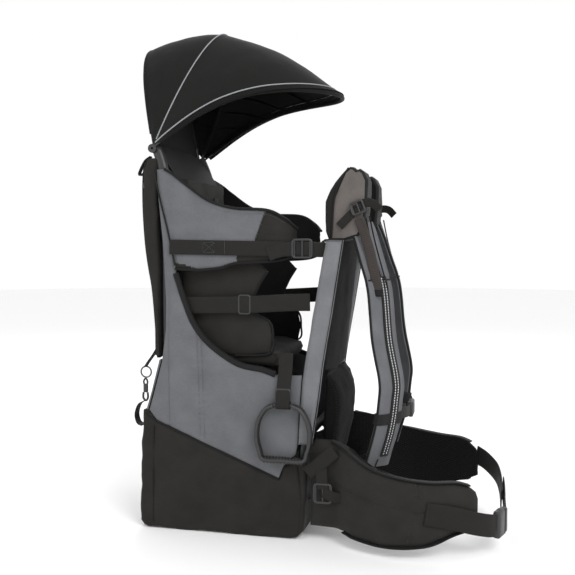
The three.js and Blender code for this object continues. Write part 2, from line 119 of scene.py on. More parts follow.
class Paint:
    """A node material under construction."""

    def __init__(self, name, roughness, metallic=0.0, sheen=0.0, specular=0.5):
        self.material = bpy.data.materials.new(name)
        self.material.use_nodes = True
        self.tree = self.material.node_tree
        self.shader = self.tree.nodes["Principled BSDF"]
        self.shader.inputs["Roughness"].default_value = roughness
        self.shader.inputs["Metallic"].default_value = metallic
        self.shader.inputs["Specular IOR Level"].default_value = specular
        self.shader.inputs["Sheen Weight"].default_value = sheen
        self.shader.inputs["Sheen Roughness"].default_value = 0.45
        self.place = self.node("ShaderNodeTexCoord").outputs["Object"]
        uv = self.node("ShaderNodeUVMap")
        uv.uv_map = "weave"
        self.thread = uv.outputs["UV"]

    def node(self, kind, **settings):
        made = self.tree.nodes.new(kind)
        for key, value in settings.items():
            setattr(made, key, value)
        return made

    def link(self, source, target):
        self.tree.links.new(source, target)

    def noise(self, size_mm, detail=2.0, stretch=(1, 1, 1)):
        """Soft noise from 0 to 1 whose patches are about size_mm across."""
        mapping = self.node("ShaderNodeMapping")
        mapping.inputs["Scale"].default_value = stretch
        self.link(self.place, mapping.inputs["Vector"])
        made = self.node("ShaderNodeTexNoise")
        made.inputs["Scale"].default_value = 1 / (size_mm * MM)
        made.inputs["Detail"].default_value = detail
        self.link(mapping.outputs["Vector"], made.inputs["Vector"])
        return made.outputs["Fac"]

    def wave(self, pitch_mm, turn_deg=0.0):
        """Parallel threads on the piece's own surface, pitch_mm apart."""
        mapping = self.node("ShaderNodeMapping")
        mapping.inputs["Rotation"].default_value = (0, 0, math.radians(turn_deg))
        self.link(self.thread, mapping.inputs["Vector"])
        made = self.node("ShaderNodeTexWave", wave_type="BANDS", bands_direction="X", wave_profile="SIN")
        made.inputs["Scale"].default_value = math.pi / (10 * pitch_mm * MM)
        made.inputs["Distortion"].default_value = 0.0
        self.link(mapping.outputs["Vector"], made.inputs["Vector"])
        return made.outputs["Fac"]

    def math(self, operation, first, second):
        made = self.node("ShaderNodeMath", operation=operation)
        for slot, value in zip(made.inputs, (first, second)):
            if isinstance(value, (int, float)):
                slot.default_value = value
            else:
                self.link(value, slot)
        return made.outputs[0]

    def ramp(self, factor, *stops):
        made = self.node("ShaderNodeValToRGB")
        elements = made.color_ramp.elements
        while len(elements) < len(stops):
            elements.new(0.5)
        for element, (at, color) in zip(elements, stops):
            element.position = at
            element.color = (*color, 1)
        self.link(factor, made.inputs["Fac"])
        return made.outputs["Color"]

    def mixed(self, factor, first, second, blend="MIX"):
        made = self.node("ShaderNodeMix", data_type="RGBA", blend_type=blend)
        for name, value in (("Factor", factor), ("A", first), ("B", second)):
            slot = [s for s in made.inputs if s.name == name and s.enabled][0]
            if isinstance(value, tuple):
                slot.default_value = (*value, 1)
            elif isinstance(value, (int, float)):
                slot.default_value = value
            else:
                self.link(value, slot)
        return [s for s in made.outputs if s.enabled][0]

    def behind(self, *lines):
        """1 where x is behind every line, each given as x and z in millimetres and its forward lean."""
        split = self.node("ShaderNodeSeparateXYZ")
        self.link(self.place, split.inputs[0])
        edges = [
            self.math("ADD", self.math("MULTIPLY", split.outputs["Z"], lean), (x - lean * z) * MM) for x, z,
            lean in lines
        ]
        return self.math("LESS_THAN", split.outputs["X"], self.math("MAXIMUM", *edges))

    def color(self, source):
        self.link(source, self.shader.inputs["Base Color"])

    def bump(self, *layers):
        """Layers of (height, depth in millimetres), the coarsest first."""
        normal = None
        for height, depth_mm in layers:
            made = self.node("ShaderNodeBump")
            made.inputs["Strength"].default_value = 1.0
            made.inputs["Distance"].default_value = depth_mm * MM
            self.link(height, made.inputs["Height"])
            if normal is not None:
                self.link(normal, made.inputs["Normal"])
            normal = made.outputs["Normal"]
        self.link(normal, self.shader.inputs["Normal"])


def shade(color, factor):
    return tuple(min(1.0, c * factor) for c in color)


def woven(name, color, pitch=1.1, sheen=0.05, roughness=0.78, mottle=0.16, lump=0.35, rear=None):
    """Plain-woven polyester: crossed threads, faint slubs and slow changes of shade."""
    paint = Paint(name, roughness, sheen=sheen, specular=0.2)
    slow = paint.noise(38, 3)
    slub = paint.noise(2.6, 2)
    tone = paint.ramp(slow, (0.3, shade(color, 1 - mottle)), (0.7, shade(color, 1 + mottle)))
    speck = paint.ramp(slub, (0.35, (0.95, 0.95, 0.95)), (0.68, (1.04, 1.04, 1.04)))
    cloth = paint.mixed(1.0, tone, speck, "MULTIPLY")
    if rear:
        cloth = paint.mixed(paint.behind(*rear), cloth, linear(22, 21, 20))
    paint.color(cloth)
    weave = paint.math("MULTIPLY", paint.wave(pitch), paint.wave(pitch, 90))
    paint.bump((paint.noise(24, 3), lump * 2), (slub, 0.07), (weave, 0.08))
    return paint.material


def air_mesh(name, color):
    """Spacer mesh: rows of small open cells over dark foam."""
    paint = Paint(name, 0.85, sheen=0.03, specular=0.15)
    cells = paint.math("MULTIPLY", paint.wave(4.2, 62), paint.wave(4.2, -62))
    paint.color(paint.ramp(cells, (0.25, shade(color, 0.35)), (0.6, shade(color, 1.5))))
    paint.bump((paint.noise(14, 2), 0.5), (cells, 0.7))
    return paint.material


def ribbed(name, color, pitch=1.7, sheen=0.03):
    """Woven strap: ribs across its length and a finer lengthwise grain."""
    paint = Paint(name, 0.62, sheen=sheen, specular=0.2)
    ribs = paint.wave(pitch)
    grain = paint.wave(pitch * 0.9, 90)
    slow = paint.noise(16, 2)
    tone = paint.ramp(slow, (0.3, shade(color, 0.85)), (0.7, shade(color, 1.2)))
    paint.color(
        paint.mixed(0.45, tone, paint.ramp(ribs, (0.1, shade(color, 0.55)), (0.7, shade(color, 1.35))))
    )
    paint.bump((slow, 0.2), (ribs, 0.22), (grain, 0.12))
    return paint.material


def moulded(name, color, roughness=0.42):
    """Moulded plastic: fine grain, handling marks in the gloss, paler worn edges."""
    paint = Paint(name, roughness, specular=0.5)
    edge = paint.node("ShaderNodeNewGeometry").outputs["Pointiness"]
    worn = paint.ramp(edge, (0.5, (0, 0, 0)), (0.62, (1, 1, 1)))
    slow = paint.noise(6, 3)
    base = paint.ramp(slow, (0.3, shade(color, 0.9)), (0.7, shade(color, 1.12)))
    paint.color(paint.mixed(paint.math("MULTIPLY", worn, 0.5), base, shade(color, 2.6)))
    gloss = paint.math("ADD", paint.math("MULTIPLY", slow, 0.22), roughness - 0.1)
    paint.link(gloss, paint.shader.inputs["Roughness"])
    paint.bump((paint.noise(0.9, 2), 0.04))
    return paint.material


def metal(name, color, roughness):
    paint = Paint(name, roughness, metallic=1.0)
    streak = paint.noise(3, 3, stretch=(1, 1, 0.1))
    paint.color(paint.ramp(streak, (0.3, shade(color, 0.85)), (0.7, shade(color, 1.1))))
    gloss = paint.math("ADD", paint.math("MULTIPLY", streak, 0.25), roughness - 0.1)
    paint.link(gloss, paint.shader.inputs["Roughness"])
    paint.bump((streak, 0.02))
    return paint.material


def plain_thread(name, color, roughness=0.6):
    """Cord, piping or sewing thread, with a twist in its surface."""
    paint = Paint(name, roughness, sheen=0.1)
    twist = paint.wave(1.1, 30)
    paint.color(paint.ramp(twist, (0.2, shade(color, 0.75)), (0.8, shade(color, 1.1))))
    paint.bump((twist, 0.08))
    return paint.material


GREY = woven("grey_polyester", linear(93, 94, 97), mottle=0.10)
BLACK = woven("black_polyester", linear(31, 30, 28))
CANOPY_BLACK = woven("canopy_polyester", linear(14, 13, 12), lump=0.2)
YOKE_CLOTH = woven("yoke_polyester", linear(90, 85, 82), rear=((199, 596, 0.083), (199, 596, 0.426)))
# A paler copy of the grey polyester for the frame sleeves: painted light, for the extra light the angled
# sleeves catch.
SLEEVE_LIT_GREY = woven("sleeve_grey_painted_light", linear(104, 105, 108), mottle=0.10)
CHARCOAL = woven("charcoal_polyester", linear(33, 32, 30))
LINING = woven("lining", linear(20, 20, 20))
MESH = air_mesh("air_mesh", linear(18, 18, 17))
WEBBING = ribbed("webbing", linear(24, 23, 21))
ELASTIC = ribbed("elastic_webbing", linear(52, 47, 45), pitch=3.4)
BINDING = ribbed("binding", linear(20, 20, 20), pitch=1.2)
PLASTIC = moulded("moulded_plastic", linear(30, 30, 31))
ROD = moulded("canopy_rod", linear(26, 26, 26))
ALUMINIUM = metal("aluminium", linear(64, 65, 68), 0.4)
STEEL = metal("steel", linear(104, 105, 107), 0.3)
PIPING = plain_thread("piping", linear(138, 140, 142))
THREAD = plain_thread("thread", linear(78, 78, 80))
DARK_THREAD = plain_thread("dark_thread", linear(16, 16, 16))
REFLECTIVE = plain_thread("reflective", linear(206, 208, 210), roughness=0.35)


# ---------------------------------------------------------------- numbers and curves

def lattice(cells, seed):
    """A repeatable number from -1 to 1 for each whole-number point."""
    mixed = (cells * np.array([73856093, 19349663, 83492791])).sum(-1) + seed * 2654435
    mixed = (mixed ^ (mixed >> 13)) * 1274126177 & 0xFFFFFFFF
    mixed = (mixed ^ (mixed >> 16)) & 0xFFFF
    return mixed / 32767.5 - 1


def noise(points, size, seed=0, octaves=2):
    """Smooth noise from about -1 to 1 at n x 3 points, with patches about `size` across."""
    total = np.zeros(len(points))
    for octave in range(octaves):
        scaled = points * (2**octave / np.asarray(size, float))
        cell = np.floor(scaled).astype(np.int64)
        part = scaled - cell
        part = part * part * (3 - 2 * part)
        for corner in np.ndindex(2, 2, 2):
            weight = np.prod(np.where(corner, part, 1 - part), axis=-1)
            total += weight * lattice(cell + np.array(corner), seed + octave) / 2**octave
    return total


def flat_noise(u, v, size_u, size_v, seed=0, octaves=2):
    points = np.stack([u / size_u, v / size_v, np.full(len(u), seed * 0.37)], -1)
    return noise(points, 1.0, seed, octaves)


def smooth(points, count):
    """`count` evenly spaced points on a smooth curve through `points`."""
    points = np.array(points, float)
    padded = np.vstack([2 * points[0] - points[1], points, 2 * points[-1] - points[-2]])
    curve = []
    for a, b, c, d in zip(padded, padded[1:], padded[2:], padded[3:]):
        t = np.linspace(0, 1, 24, endpoint=False)[:, None]
        curve.append(
            0.5 * (
                2 * b + (c - a) * t + (2 * a - 5 * b + 4 * c - d) * t**2 + (3 * b - a - 3 * c + d) * t**3
            )
        )
    curve = np.vstack([*curve, points[-1:]])
    return even(curve, count)


def even(curve, count):
    """`count` evenly spaced points along a polyline."""
    curve = np.array(curve, float)
    along = np.concatenate([[0], np.cumsum(np.linalg.norm(np.diff(curve, axis=0), axis=1))])
    at = np.linspace(0, along[-1], count)
    return np.stack([np.interp(at, along, axis) for axis in curve.T], -1)


def lengths(curve):
    return np.concatenate([[0], np.cumsum(np.linalg.norm(np.diff(curve, axis=0), axis=1))])


def unit(vectors):
    return vectors / np.maximum(np.linalg.norm(vectors, axis=-1, keepdims=True), 1e-9)


def distance_to(u, v, line):
    """Distance from each flat point to a polyline, and how far along the polyline the nearest point is."""
    best = np.full(len(u), 1e9)
    along = np.zeros(len(u))
    start = 0.0
    line = np.array(line, float)
    for a, b in zip(line, line[1:]):
        step = b - a
        length = np.hypot(*step)
        t = np.clip(((u - a[0]) * step[0] + (v - a[1]) * step[1]) / max(length**2, 1e-9), 0, 1)
        gap = np.hypot(u - a[0] - t * step[0], v - a[1] - t * step[1])
        along = np.where(gap < best, start + t * length, along)
        best = np.minimum(best, gap)
        start += length
    return best, along


def groove(u, v, line, depth=1.2, width=2.5, pucker=0.0, pucker_pitch=9.0, reach=16.0):
    """A sewn seam's height: a groove along the line, with small puckers beside it."""
    gap, along = distance_to(u, v, line)
    dent = -depth * np.exp(-((gap / width) ** 2))
    if pucker:
        wobble = 2 * math.pi * along / pucker_pitch + 2.0 * np.sin(along / 23.0)
        dent = dent + pucker * np.sin(wobble) * np.exp(-gap / reach) * (1 - np.exp(-gap / width))
    return dent


# ---------------------------------------------------------------- mesh makers

def mesh_object(name, points, faces, materials, uvs=None, face_material=None, smooth_shading=True):
    """A mesh object from points in millimetres. uvs holds a pair for each corner of each face."""
    mesh = bpy.data.meshes.new(name)
    mesh.from_pydata((np.asarray(points, float) * MM).tolist(), [], [list(map(int, f)) for f in faces])
    layer = mesh.uv_layers.new(name="weave")
    if uvs is not None:
        layer.data.foreach_set("uv", (np.asarray(uvs, float) * MM).astype(np.float32).ravel())
    for entry in materials if isinstance(materials, (list, tuple)) else [materials]:
        mesh.materials.append(entry)
    if face_material is not None:
        mesh.polygons.foreach_set("material_index", np.asarray(face_material, np.int32))
    mesh.polygons.foreach_set("use_smooth", [smooth_shading] * len(mesh.polygons))
    mesh.validate()
    mesh.update()
    mesh.set_sharp_from_angle(angle=math.radians(52))
    piece = bpy.data.objects.new(name, mesh)
    bpy.context.scene.collection.objects.link(piece)
    return piece


def grid_faces(rows, columns, closed_rows=False, closed_columns=False):
    """Quads over a grid of rows x columns points, wrapping where it is closed."""
    faces = []
    for i in range(rows if closed_rows else rows - 1):
        for j in range(columns if closed_columns else columns - 1):
            k, m = (i + 1) % rows, (j + 1) % columns
            faces.append((i * columns + j, i * columns + m, k * columns + m, k * columns + j))
    return faces


def loft(name, rings, materials, closed=False, caps=True, face_material=None):
    """A skin over a stack of closed rings (rows x columns x 3), with flat caps unless it closes on itself."""
    rings = np.asarray(rings, float)
    rows, columns = rings.shape[:2]
    faces = grid_faces(rows, columns, closed, True)
    along = lengths(rings.mean(1)) if not closed else lengths(rings[:, 0])
    around = np.concatenate([[0], np.cumsum(np.linalg.norm(rings[0] - np.roll(rings[0], -1, 0), axis=1))])
    step = np.append(along, along[-1] + np.linalg.norm(rings[-1, 0] - rings[0, 0]))
    uvs = []
    for i in range(rows if closed else rows - 1):
        for j in range(columns):
            uvs += [
                (step[i], around[j]), (step[i], around[j + 1]), (step[i + 1], around[j + 1]),
                (step[i + 1], around[j])
            ]
    points = rings.reshape(-1, 3)
    tags = [0] * len(faces) if face_material is None else [
        face_material(i // columns, i % columns)
        for i in range(len(faces))
    ]
    if caps and not closed:
        for row, order in ((0, 1), (rows - 1, -1)):
            middle = len(points)
            points = np.vstack([points, rings[row].mean(0)])
            for j in range(columns):
                pair = (row * columns + j, row * columns + (j + 1) % columns)
                faces.append((middle, *pair[::-order]))
                tags.append(tags[0])
                uvs += [(points[k][0], points[k][2]) for k in faces[-1]]
    return mesh_object(name, points, faces, materials, uvs, tags)


def frames_along(path, across):
    """Width and thickness directions along a path, with the width kept near `across`."""
    along = unit(np.gradient(path, axis=0))
    across = np.broadcast_to(np.array(across, float), path.shape)
    wide = unit(across - along * (across * along).sum(-1, keepdims=True))
    return wide, np.cross(along, wide)


def sweep(name, path, section, across, material, closed=False, scale=None):
    """A section (width, thickness pairs) carried along a path."""
    path = np.asarray(path, float)
    if closed:
        along = unit(np.roll(path, -1, 0) - np.roll(path, 1, 0))
        side = np.broadcast_to(np.array(across, float), path.shape)
        wide = unit(side - along * (side * along).sum(-1, keepdims=True))
        thick = np.cross(along, wide)
    else:
        wide, thick = frames_along(path, across)
    section = np.asarray(section, float)
    size = np.ones(len(path)) if scale is None else np.asarray(scale)
    spread = wide[:, None] * section[None, :, :1] + thick[:, None] * section[None, :, 1:]
    return loft(name, path[:, None] + spread * size[:, None, None], material, closed)


def round_section(radius, sides=10):
    turns = np.arange(sides) * 2 * math.pi / sides
    return np.stack([np.cos(turns), np.sin(turns)], -1) * radius


def band_section(width, thickness, sides=3, wide=6):
    """A flat strap's section: straight faces and rounded edges."""
    corner = thickness / 2
    right = [
        (width / 2 - corner + corner * math.cos(t), corner * math.sin(t))
        for t in np.linspace(-math.pi / 2, math.pi / 2, sides + 2)
    ]
    top = [(x, corner) for x in np.linspace(width / 2 - corner, -width / 2 + corner, wide)[1:-1]]
    half = right + top
    return np.array(half + [(-x, -y) for x, y in half])


def webbing(name, points, width, across, material=None, thickness=1.9, count=None, ripple=0.0, seed=1):
    """A flat strap laid along points."""
    path = smooth(points, count or max(8, int(lengths(np.array(points, float))[-1] / 6)))
    if ripple:
        _, thick = frames_along(path, across)
        wobble = flat_noise(lengths(path), np.zeros(len(path)), 34, 1, seed)
        fade = np.sin(np.linspace(0, math.pi, len(path)))
        path = path + thick * (wobble * fade * ripple)[:, None]
    return sweep(name, path, band_section(width, thickness), across, material or WEBBING)


def tube(name, points, radius, material, count=None, sides=10, closed=False):
    path = smooth(points, count or max(6, int(lengths(np.array(points, float))[-1] / 3)))
    if closed:
        path = path[:-1]
    reach = np.ptp(path, axis=0)
    across = np.eye(3)[int(np.argmin(reach))]
    return sweep(name, path, round_section(radius, sides), across, material, closed)


def inside(u, v, outline):
    """Which flat points lie inside a polygon."""
    result = np.zeros(len(u), bool)
    for (ax, ay), (bx, by) in zip(outline, np.roll(outline, -1, 0)):
        crosses = (ay > v) != (by > v)
        with np.errstate(divide="ignore", invalid="ignore"):
            result ^= crosses & (u < (bx - ax) * (v - ay) / (by - ay) + ax)
    return result


def outline_points(outline, grid):
    """The outline with points about `grid` apart, keeping its corners."""
    outline = np.array(outline, float)
    dense = []
    for a, b in zip(outline, np.roll(outline, -1, 0)):
        steps = max(1, round(np.hypot(*(b - a)) / grid))
        dense += [a + (b - a) * i / steps for i in range(steps)]
    return np.array(dense)


def triangulated(edge, grid):
    """Flat points and triangles filling a polygon, with a fine row just inside its edge."""
    closed = np.vstack([edge, edge[:1]])
    low, high = edge.min(0), edge.max(0)
    rows = np.arange(low[1], high[1] + grid, grid * 0.866)
    fill = []
    for i, row in enumerate(rows):
        shift = grid / 2 * (i % 2)
        fill += [(x, row) for x in np.arange(low[0] + shift, high[0] + grid, grid)]
    fill = np.array(fill)
    gap, _ = distance_to(fill[:, 0], fill[:, 1], closed)
    fill = fill[inside(fill[:, 0], fill[:, 1], edge) & (gap > grid * 0.75)]
    rim = edge - edge_normals(edge) * grid * 0.3
    rim_gap, _ = distance_to(rim[:, 0], rim[:, 1], closed)
    rim = rim[inside(rim[:, 0], rim[:, 1], edge) & (rim_gap > grid * 0.2)]
    points = np.vstack([edge, rim, fill])
    edges = [(i, (i + 1) % len(edge)) for i in range(len(edge))]
    made = delaunay_2d_cdt([Vector(p) for p in points], edges, [], 1, 1e-6)
    flat = np.array([tuple(p) for p in made[0]])
    return flat, np.array([f for f in made[2] if len(f) == 3]), closed


def edge_normals(edge):
    """Outward flat directions at the points of a polygon."""
    tangent = unit(np.roll(edge, -1, 0) - edge) + unit(edge - np.roll(edge, 1, 0))
    area = np.sum(edge[:, 0] * np.roll(edge[:, 1], -1) - np.roll(edge[:, 0], -1) * edge[:, 1])
    return unit(np.stack([tangent[:, 1], -tangent[:, 0]], -1)) * (1 if area > 0 else -1)


def pillow(name, outline, y0, y1, radius, materials, height=None, grid=7.0, soft=0.8, seed=3, turn=None):
    """A stuffed slab: a side outline carried from y0 to y1 with rounded edges. Its materials are for
    the face at y0, the rim and the face at y1; height(x, z, edge distance) raises both faces, and
    turn(points) may bend the whole."""
    edge = outline_points(outline, grid)
    normal = edge_normals(edge)
    way = math.copysign(1, y1 - y0)
    radius = min(radius, abs(y1 - y0) / 2.01)
    near = [
        (radius * (1 - math.sin(t)), y0 + way * radius * (1 - math.cos(t)))
        for t in np.linspace(0, math.pi / 2, 5)
    ]
    far = [(inset, y1 - (y - y0)) for inset, y in near][::-1]
    flat_part = np.linspace(
        near[-1][1], far[0][1], max(2, int(abs(y1 - y0 - 2 * way * radius) / (grid * 1.3)))
    )[1:-1]
    rows = near + [(0.0, y) for y in flat_part] + far
    rings = []
    for inset, y in rows:
        at = edge - normal * inset
        place = np.stack([at[:, 0], np.full(len(at), y), at[:, 1]], -1)
        lift = noise(place, 26, seed) * soft * (1 - inset / max(radius, 1e-6))
        place[:, 0] += normal[:, 0] * lift
        place[:, 2] += normal[:, 1] * lift
        rings.append(place)
    rings = np.array(rings)
    count = len(edge)
    faces = grid_faces(len(rows), count, False, True)
    tags = [1] * len(faces)
    arc = np.concatenate([lengths(edge), [lengths(np.vstack([edge, edge[:1]]))[-1]]])
    uvs = []
    for i in range(len(rows) - 1):
        for j in range(count):
            uvs += [
                (rows[i][1], arc[j]), (rows[i][1], arc[j + 1]), (rows[i + 1][1], arc[j + 1]),
                (rows[i + 1][1], arc[j])
            ]
    points = [*rings.reshape(-1, 3)]
    for row, sign, tag in ((0, -way, 0), (len(rows) - 1, way, 2)):
        ring_flat = rings[row][:, [0, 2]]
        flat, triangles, closed = triangulated(ring_flat, grid)
        gap, _ = distance_to(flat[:, 0], flat[:, 1], closed)
        lift = height(flat[:, 0], flat[:, 1], gap + radius) if height else np.zeros(len(flat))
        lift = lift * (1 - np.exp(-((gap / 5) ** 2)))
        depth = rows[row][1] + sign * lift
        start = len(points)
        points += [(x, y, z) for (x, z), y in zip(flat[count:], depth[count:])]
        index = np.concatenate([np.arange(count) + row * count, np.arange(len(flat) - count) + start])
        a, b, c = (flat[triangles[:, k]] for k in range(3))
        turned = (b[:, 0] - a[:, 0]) * (c[:, 1] - a[:, 1]) - (b[:, 1] - a[:, 1]) * (c[:, 0] - a[:, 0])
        triangles = np.where((turned > 0)[:, None] == (sign < 0), triangles, triangles[:, ::-1])
        for t in triangles:
            faces.append(tuple(index[t]))
            uvs += [tuple(flat[k]) for k in t]
            tags.append(tag)
    points = np.array(points, float)
    area = np.sum(edge[:, 0] * np.roll(edge[:, 1], -1) - np.roll(edge[:, 0], -1) * edge[:, 1])
    if (area > 0) == (way > 0):
        wall = len(grid_faces(len(rows), count, False, True))
        for i in range(wall):
            faces[i] = faces[i][::-1]
            uvs[4 * i : 4 * i + 4] = uvs[4 * i : 4 * i + 4][::-1]
    if turn is not None:
        points = turn(points)
    chosen = materials if isinstance(materials, (list, tuple)) else [materials] * 3
    return mesh_object(name, points, faces, list(chosen), uvs, tags)


def patch(name, outline, surface, thickness, materials, height=None, grid=6.0, roll=2.0, zone=None):
    """A piece of cloth or padding: an outline filled on a surface, raised by height(u, v, edge distance)
    on its outer face and closed by a back face `thickness` behind. The second material goes on the
    back, and the third on the outer face where zone(u, v) is true."""
    flat, triangles, closed = triangulated(outline_points(outline, grid), grid)
    u, v = flat.T
    gap, _ = distance_to(u, v, closed)
    place, normal = surface(u, v)
    lift = height(u, v, gap) if height else np.zeros(len(u))
    lift = lift - min(roll, thickness) * 0.8 * np.exp(-gap / max(roll * 0.6, 0.1))
    front = place + normal * lift[:, None]
    back = place - normal * thickness
    a, b, c = (place[triangles[:, k]] for k in range(3))
    facing = (np.cross(b - a, c - a) * normal[triangles[:, 0]]).sum(-1) > 0
    triangles = np.where(facing[:, None], triangles, triangles[:, ::-1])
    count = len(flat)
    used = {}
    for t in triangles:
        for i, j in ((t[0], t[1]), (t[1], t[2]), (t[2], t[0])):
            used[(i, j)] = True
    rim = [(i, j) for i, j in used if (j, i) not in used]
    faces = [tuple(t) for t in triangles] + [tuple(t[::-1] + count) for t in triangles]
    faces += [(j, i, i + count, j + count) for i, j in rim]
    tags = [0] * len(triangles)
    if zone is not None:
        centre = flat[triangles].mean(1)
        tags = [2 if inner else 0 for inner in zone(centre[:, 0], centre[:, 1])]
    has_back = isinstance(materials, (list, tuple)) and len(materials) > 1
    tags += [1 if has_back else 0] * (len(triangles) + len(rim))
    flat_uv = np.vstack([flat, flat])
    uvs = [flat_uv[k] for f in faces for k in f]
    return mesh_object(name, np.vstack([front, back]), faces, materials, uvs, tags)


def side_plane(y):
    """A flat surface at a fixed Y, facing away from the pack's middle."""
    side = math.copysign(1, y)

    def surface(u, v):
        place = np.stack([u, np.full(len(u), y), v], -1)
        return place, np.broadcast_to(np.array([0.0, side, 0.0]), place.shape)

    return surface


def bent_plane(path, side, outward):
    """An upright surface that follows a plan path (x, |y| pairs), moved outward, on one side of the pack."""
    curve = smooth(path, 160)
    slope = np.gradient(curve[:, 1], curve[:, 0])
    normal = unit(np.stack([-slope, np.ones(len(slope))], -1))
    moved = curve + normal * outward

    def surface(u, v):
        y = np.interp(u, moved[:, 0], moved[:, 1])
        nx = np.interp(u, moved[:, 0], normal[:, 0])
        ny = np.interp(u, moved[:, 0], normal[:, 1])
        place = np.stack([u, side * y, v], -1)
        return place, unit(np.stack([nx, side * ny, np.zeros(len(u))], -1))

    return surface


def rounded_ring(x0, x1, y0, y1, radius, count):
    """A rounded rectangle in plan, `count` points from the middle of its front, anticlockwise."""
    radius = min(radius, (x1 - x0) / 2.01, (y1 - y0) / 2.01)
    corners = [
        (x1 - radius, y1 - radius, 0), (x0 + radius, y1 - radius, 1), (x0 + radius, y0 + radius, 2),
        (x1 - radius, y0 + radius, 3)
    ]
    path = [(x1, (y0 + y1) / 2)]
    for x, y, quarter in corners:
        for t in np.linspace(0, math.pi / 2, 9):
            path.append(
                (
                    x + radius * math.cos(t + quarter * math.pi / 2),
                    y + radius * math.sin(t + quarter * math.pi / 2)
                )
            )
    path.append(path[0])
    return even(path, count + 1)[:-1]


def merged(name, pieces):
    """One object made of several, keeping their materials."""
    for other in bpy.context.selected_objects:
        other.select_set(False)
    for piece in pieces:
        piece.select_set(True)
    bpy.context.view_layer.objects.active = pieces[0]
    if len(pieces) > 1:
        bpy.ops.object.join()
    whole = pieces[0]
    whole.name = name
    whole.data.name = name
    return whole


def block(size, radius=1.0, material=None, name="block", segments=2):
    """A box of that size about the origin, with rounded edges."""
    shape = bmesh.new()
    bmesh.ops.create_cube(shape, size=1.0)
    for vertex in shape.verts:
        vertex.co = Vector([c * s for c, s in zip(vertex.co, size)])
    bmesh.ops.bevel(
        shape, geom=shape.edges[:], offset=radius, segments=segments, profile=0.5, affect="EDGES"
    )
    points = np.array([v.co[:] for v in shape.verts])
    faces = [[v.index for v in f.verts] for f in shape.faces]
    shape.free()
    uvs = [(points[k][0] + points[k][1], points[k][2]) for f in faces for k in f]
    return mesh_object(name, points, faces, material or PLASTIC, uvs)


def settle(piece, origin, x_axis, z_axis):
    """Moves a piece built about the origin to `origin`, with its X along x_axis and its Z near z_axis."""
    x = unit(np.array(x_axis, float))
    z = np.array(z_axis, float)
    z = unit(z - x * (z @ x))
    y = np.cross(z, x)
    mesh = piece.data
    points = np.array([v.co for v in mesh.vertices])
    turned = points @ np.stack([x, y, z]) + np.array(origin, float) * MM
    mesh.vertices.foreach_set("co", turned.astype(np.float32).ravel())
    mesh.update()
    return piece


def stitches(name, path, normal, material=None, pitch=4.2, length=2.6, width=0.55, lift=0.15):
    """A row of sewn stitches: small raised dashes along a path."""
    path = even(path, max(2, int(lengths(np.asarray(path, float))[-1] / 1.5)))
    total = lengths(path)
    along = unit(np.gradient(path, axis=0))
    normal = np.broadcast_to(np.array(normal, float), path.shape)
    points, faces, uvs = [], [], []
    for start in np.arange(pitch / 2, total[-1] - length, pitch):
        middle = start + length / 2
        at = np.array([np.interp(middle, total, c) for c in path.T])
        run = unit(np.array([np.interp(middle, total, c) for c in along.T]))
        up = unit(np.array([np.interp(middle, total, c) for c in normal.T]))
        side = np.cross(up, run)
        base = len(points)
        for a, b, c in (
            (-1, -1, -0.6), (1, -1, -0.6), (1, 1, -0.6), (-1, 1, -0.6), (-0.7, -0.6, 1), (0.7, -0.6, 1),
            (0.7, 0.6, 1), (-0.7, 0.6, 1)
        ):
            points.append(at + run * a * length / 2 + side * b * width / 2 + up * (lift + c * 0.35))
        for f in ((0, 3, 2, 1), (4, 5, 6, 7), (0, 1, 5, 4), (1, 2, 6, 5), (2, 3, 7, 6), (3, 0, 4, 7)):
            faces.append([base + k for k in f])
            uvs += [(k * 0.5, 0.2) for k in f]
    return mesh_object(name, points, faces, material or THREAD, uvs)


def attach(piece, body="root", replaces=()):
    """Fastens a finished piece to a CAD body and hides the CAD parts that it replaces."""
    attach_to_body(piece, body)
    if replaces:
        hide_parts(*replaces)
    return piece


SIDES = (("right", -1), ("left", 1))

# ---------------------------------------------------------------- frame tubes

def paint_node(node, material):
    """Gives a kept CAD node its finish."""
    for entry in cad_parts[node].material_slots:
        entry.material = material


for node in (
    "base_hoop", "frame_upright_right", "frame_upright_left", "rear_frame", "upper_crossbar",
    "lower_crossbar"
):
    paint_node(node, ALUMINIUM)
for node in ("canopy_rear_hoop", "canopy_middle_hoop", "canopy_front_hoop"):
    paint_node(node, ROD)
paint_node("rear_ring", STEEL)

# ---------------------------------------------------------------- base storage bag

SEAM = [(-137, 216), (-122, 198), (105, 106), (114, 128)]
BAG = [
    (-140, 0), (126, 0), (139, 3), (149, 14), (155, 70), (158, 150), *SEAM[::-1], (-150, 216), (-155, 110),
    (-158, 30), (-156, 12), (-149, 3)
]
GUSSET = [(-128, 200), (-130, 120), (-131, 6)]
FRONT_PLEAT = [(104, 104), (88, 60), (70, 6)]
FRONT_GUSSET = [(136, 148), (145, 70), (140, 8)]
BAG_PLEAT = [(-36, 166), (-34, 80), (-32, 6)]


def bag_height(x, z, gap):
    puff = 2.5 * (1 - np.exp(-gap / 18)) + 2.2 * flat_noise(x, z, 46, 34, 4) * (1 - np.exp(-gap / 20))
    sewn = groove(x, z, GUSSET, 1.6, 2.2, 0.7, 12) + groove(x, z, FRONT_PLEAT, 2.4, 3.0, 0.8, 17) + groove(
        x, z, FRONT_GUSSET, 1.5, 2.2, 0.5, 13
    ) + groove(x, z, BAG_PLEAT, 1.2, 3.0, 0.4, 21)
    return puff - 2.5 + sewn


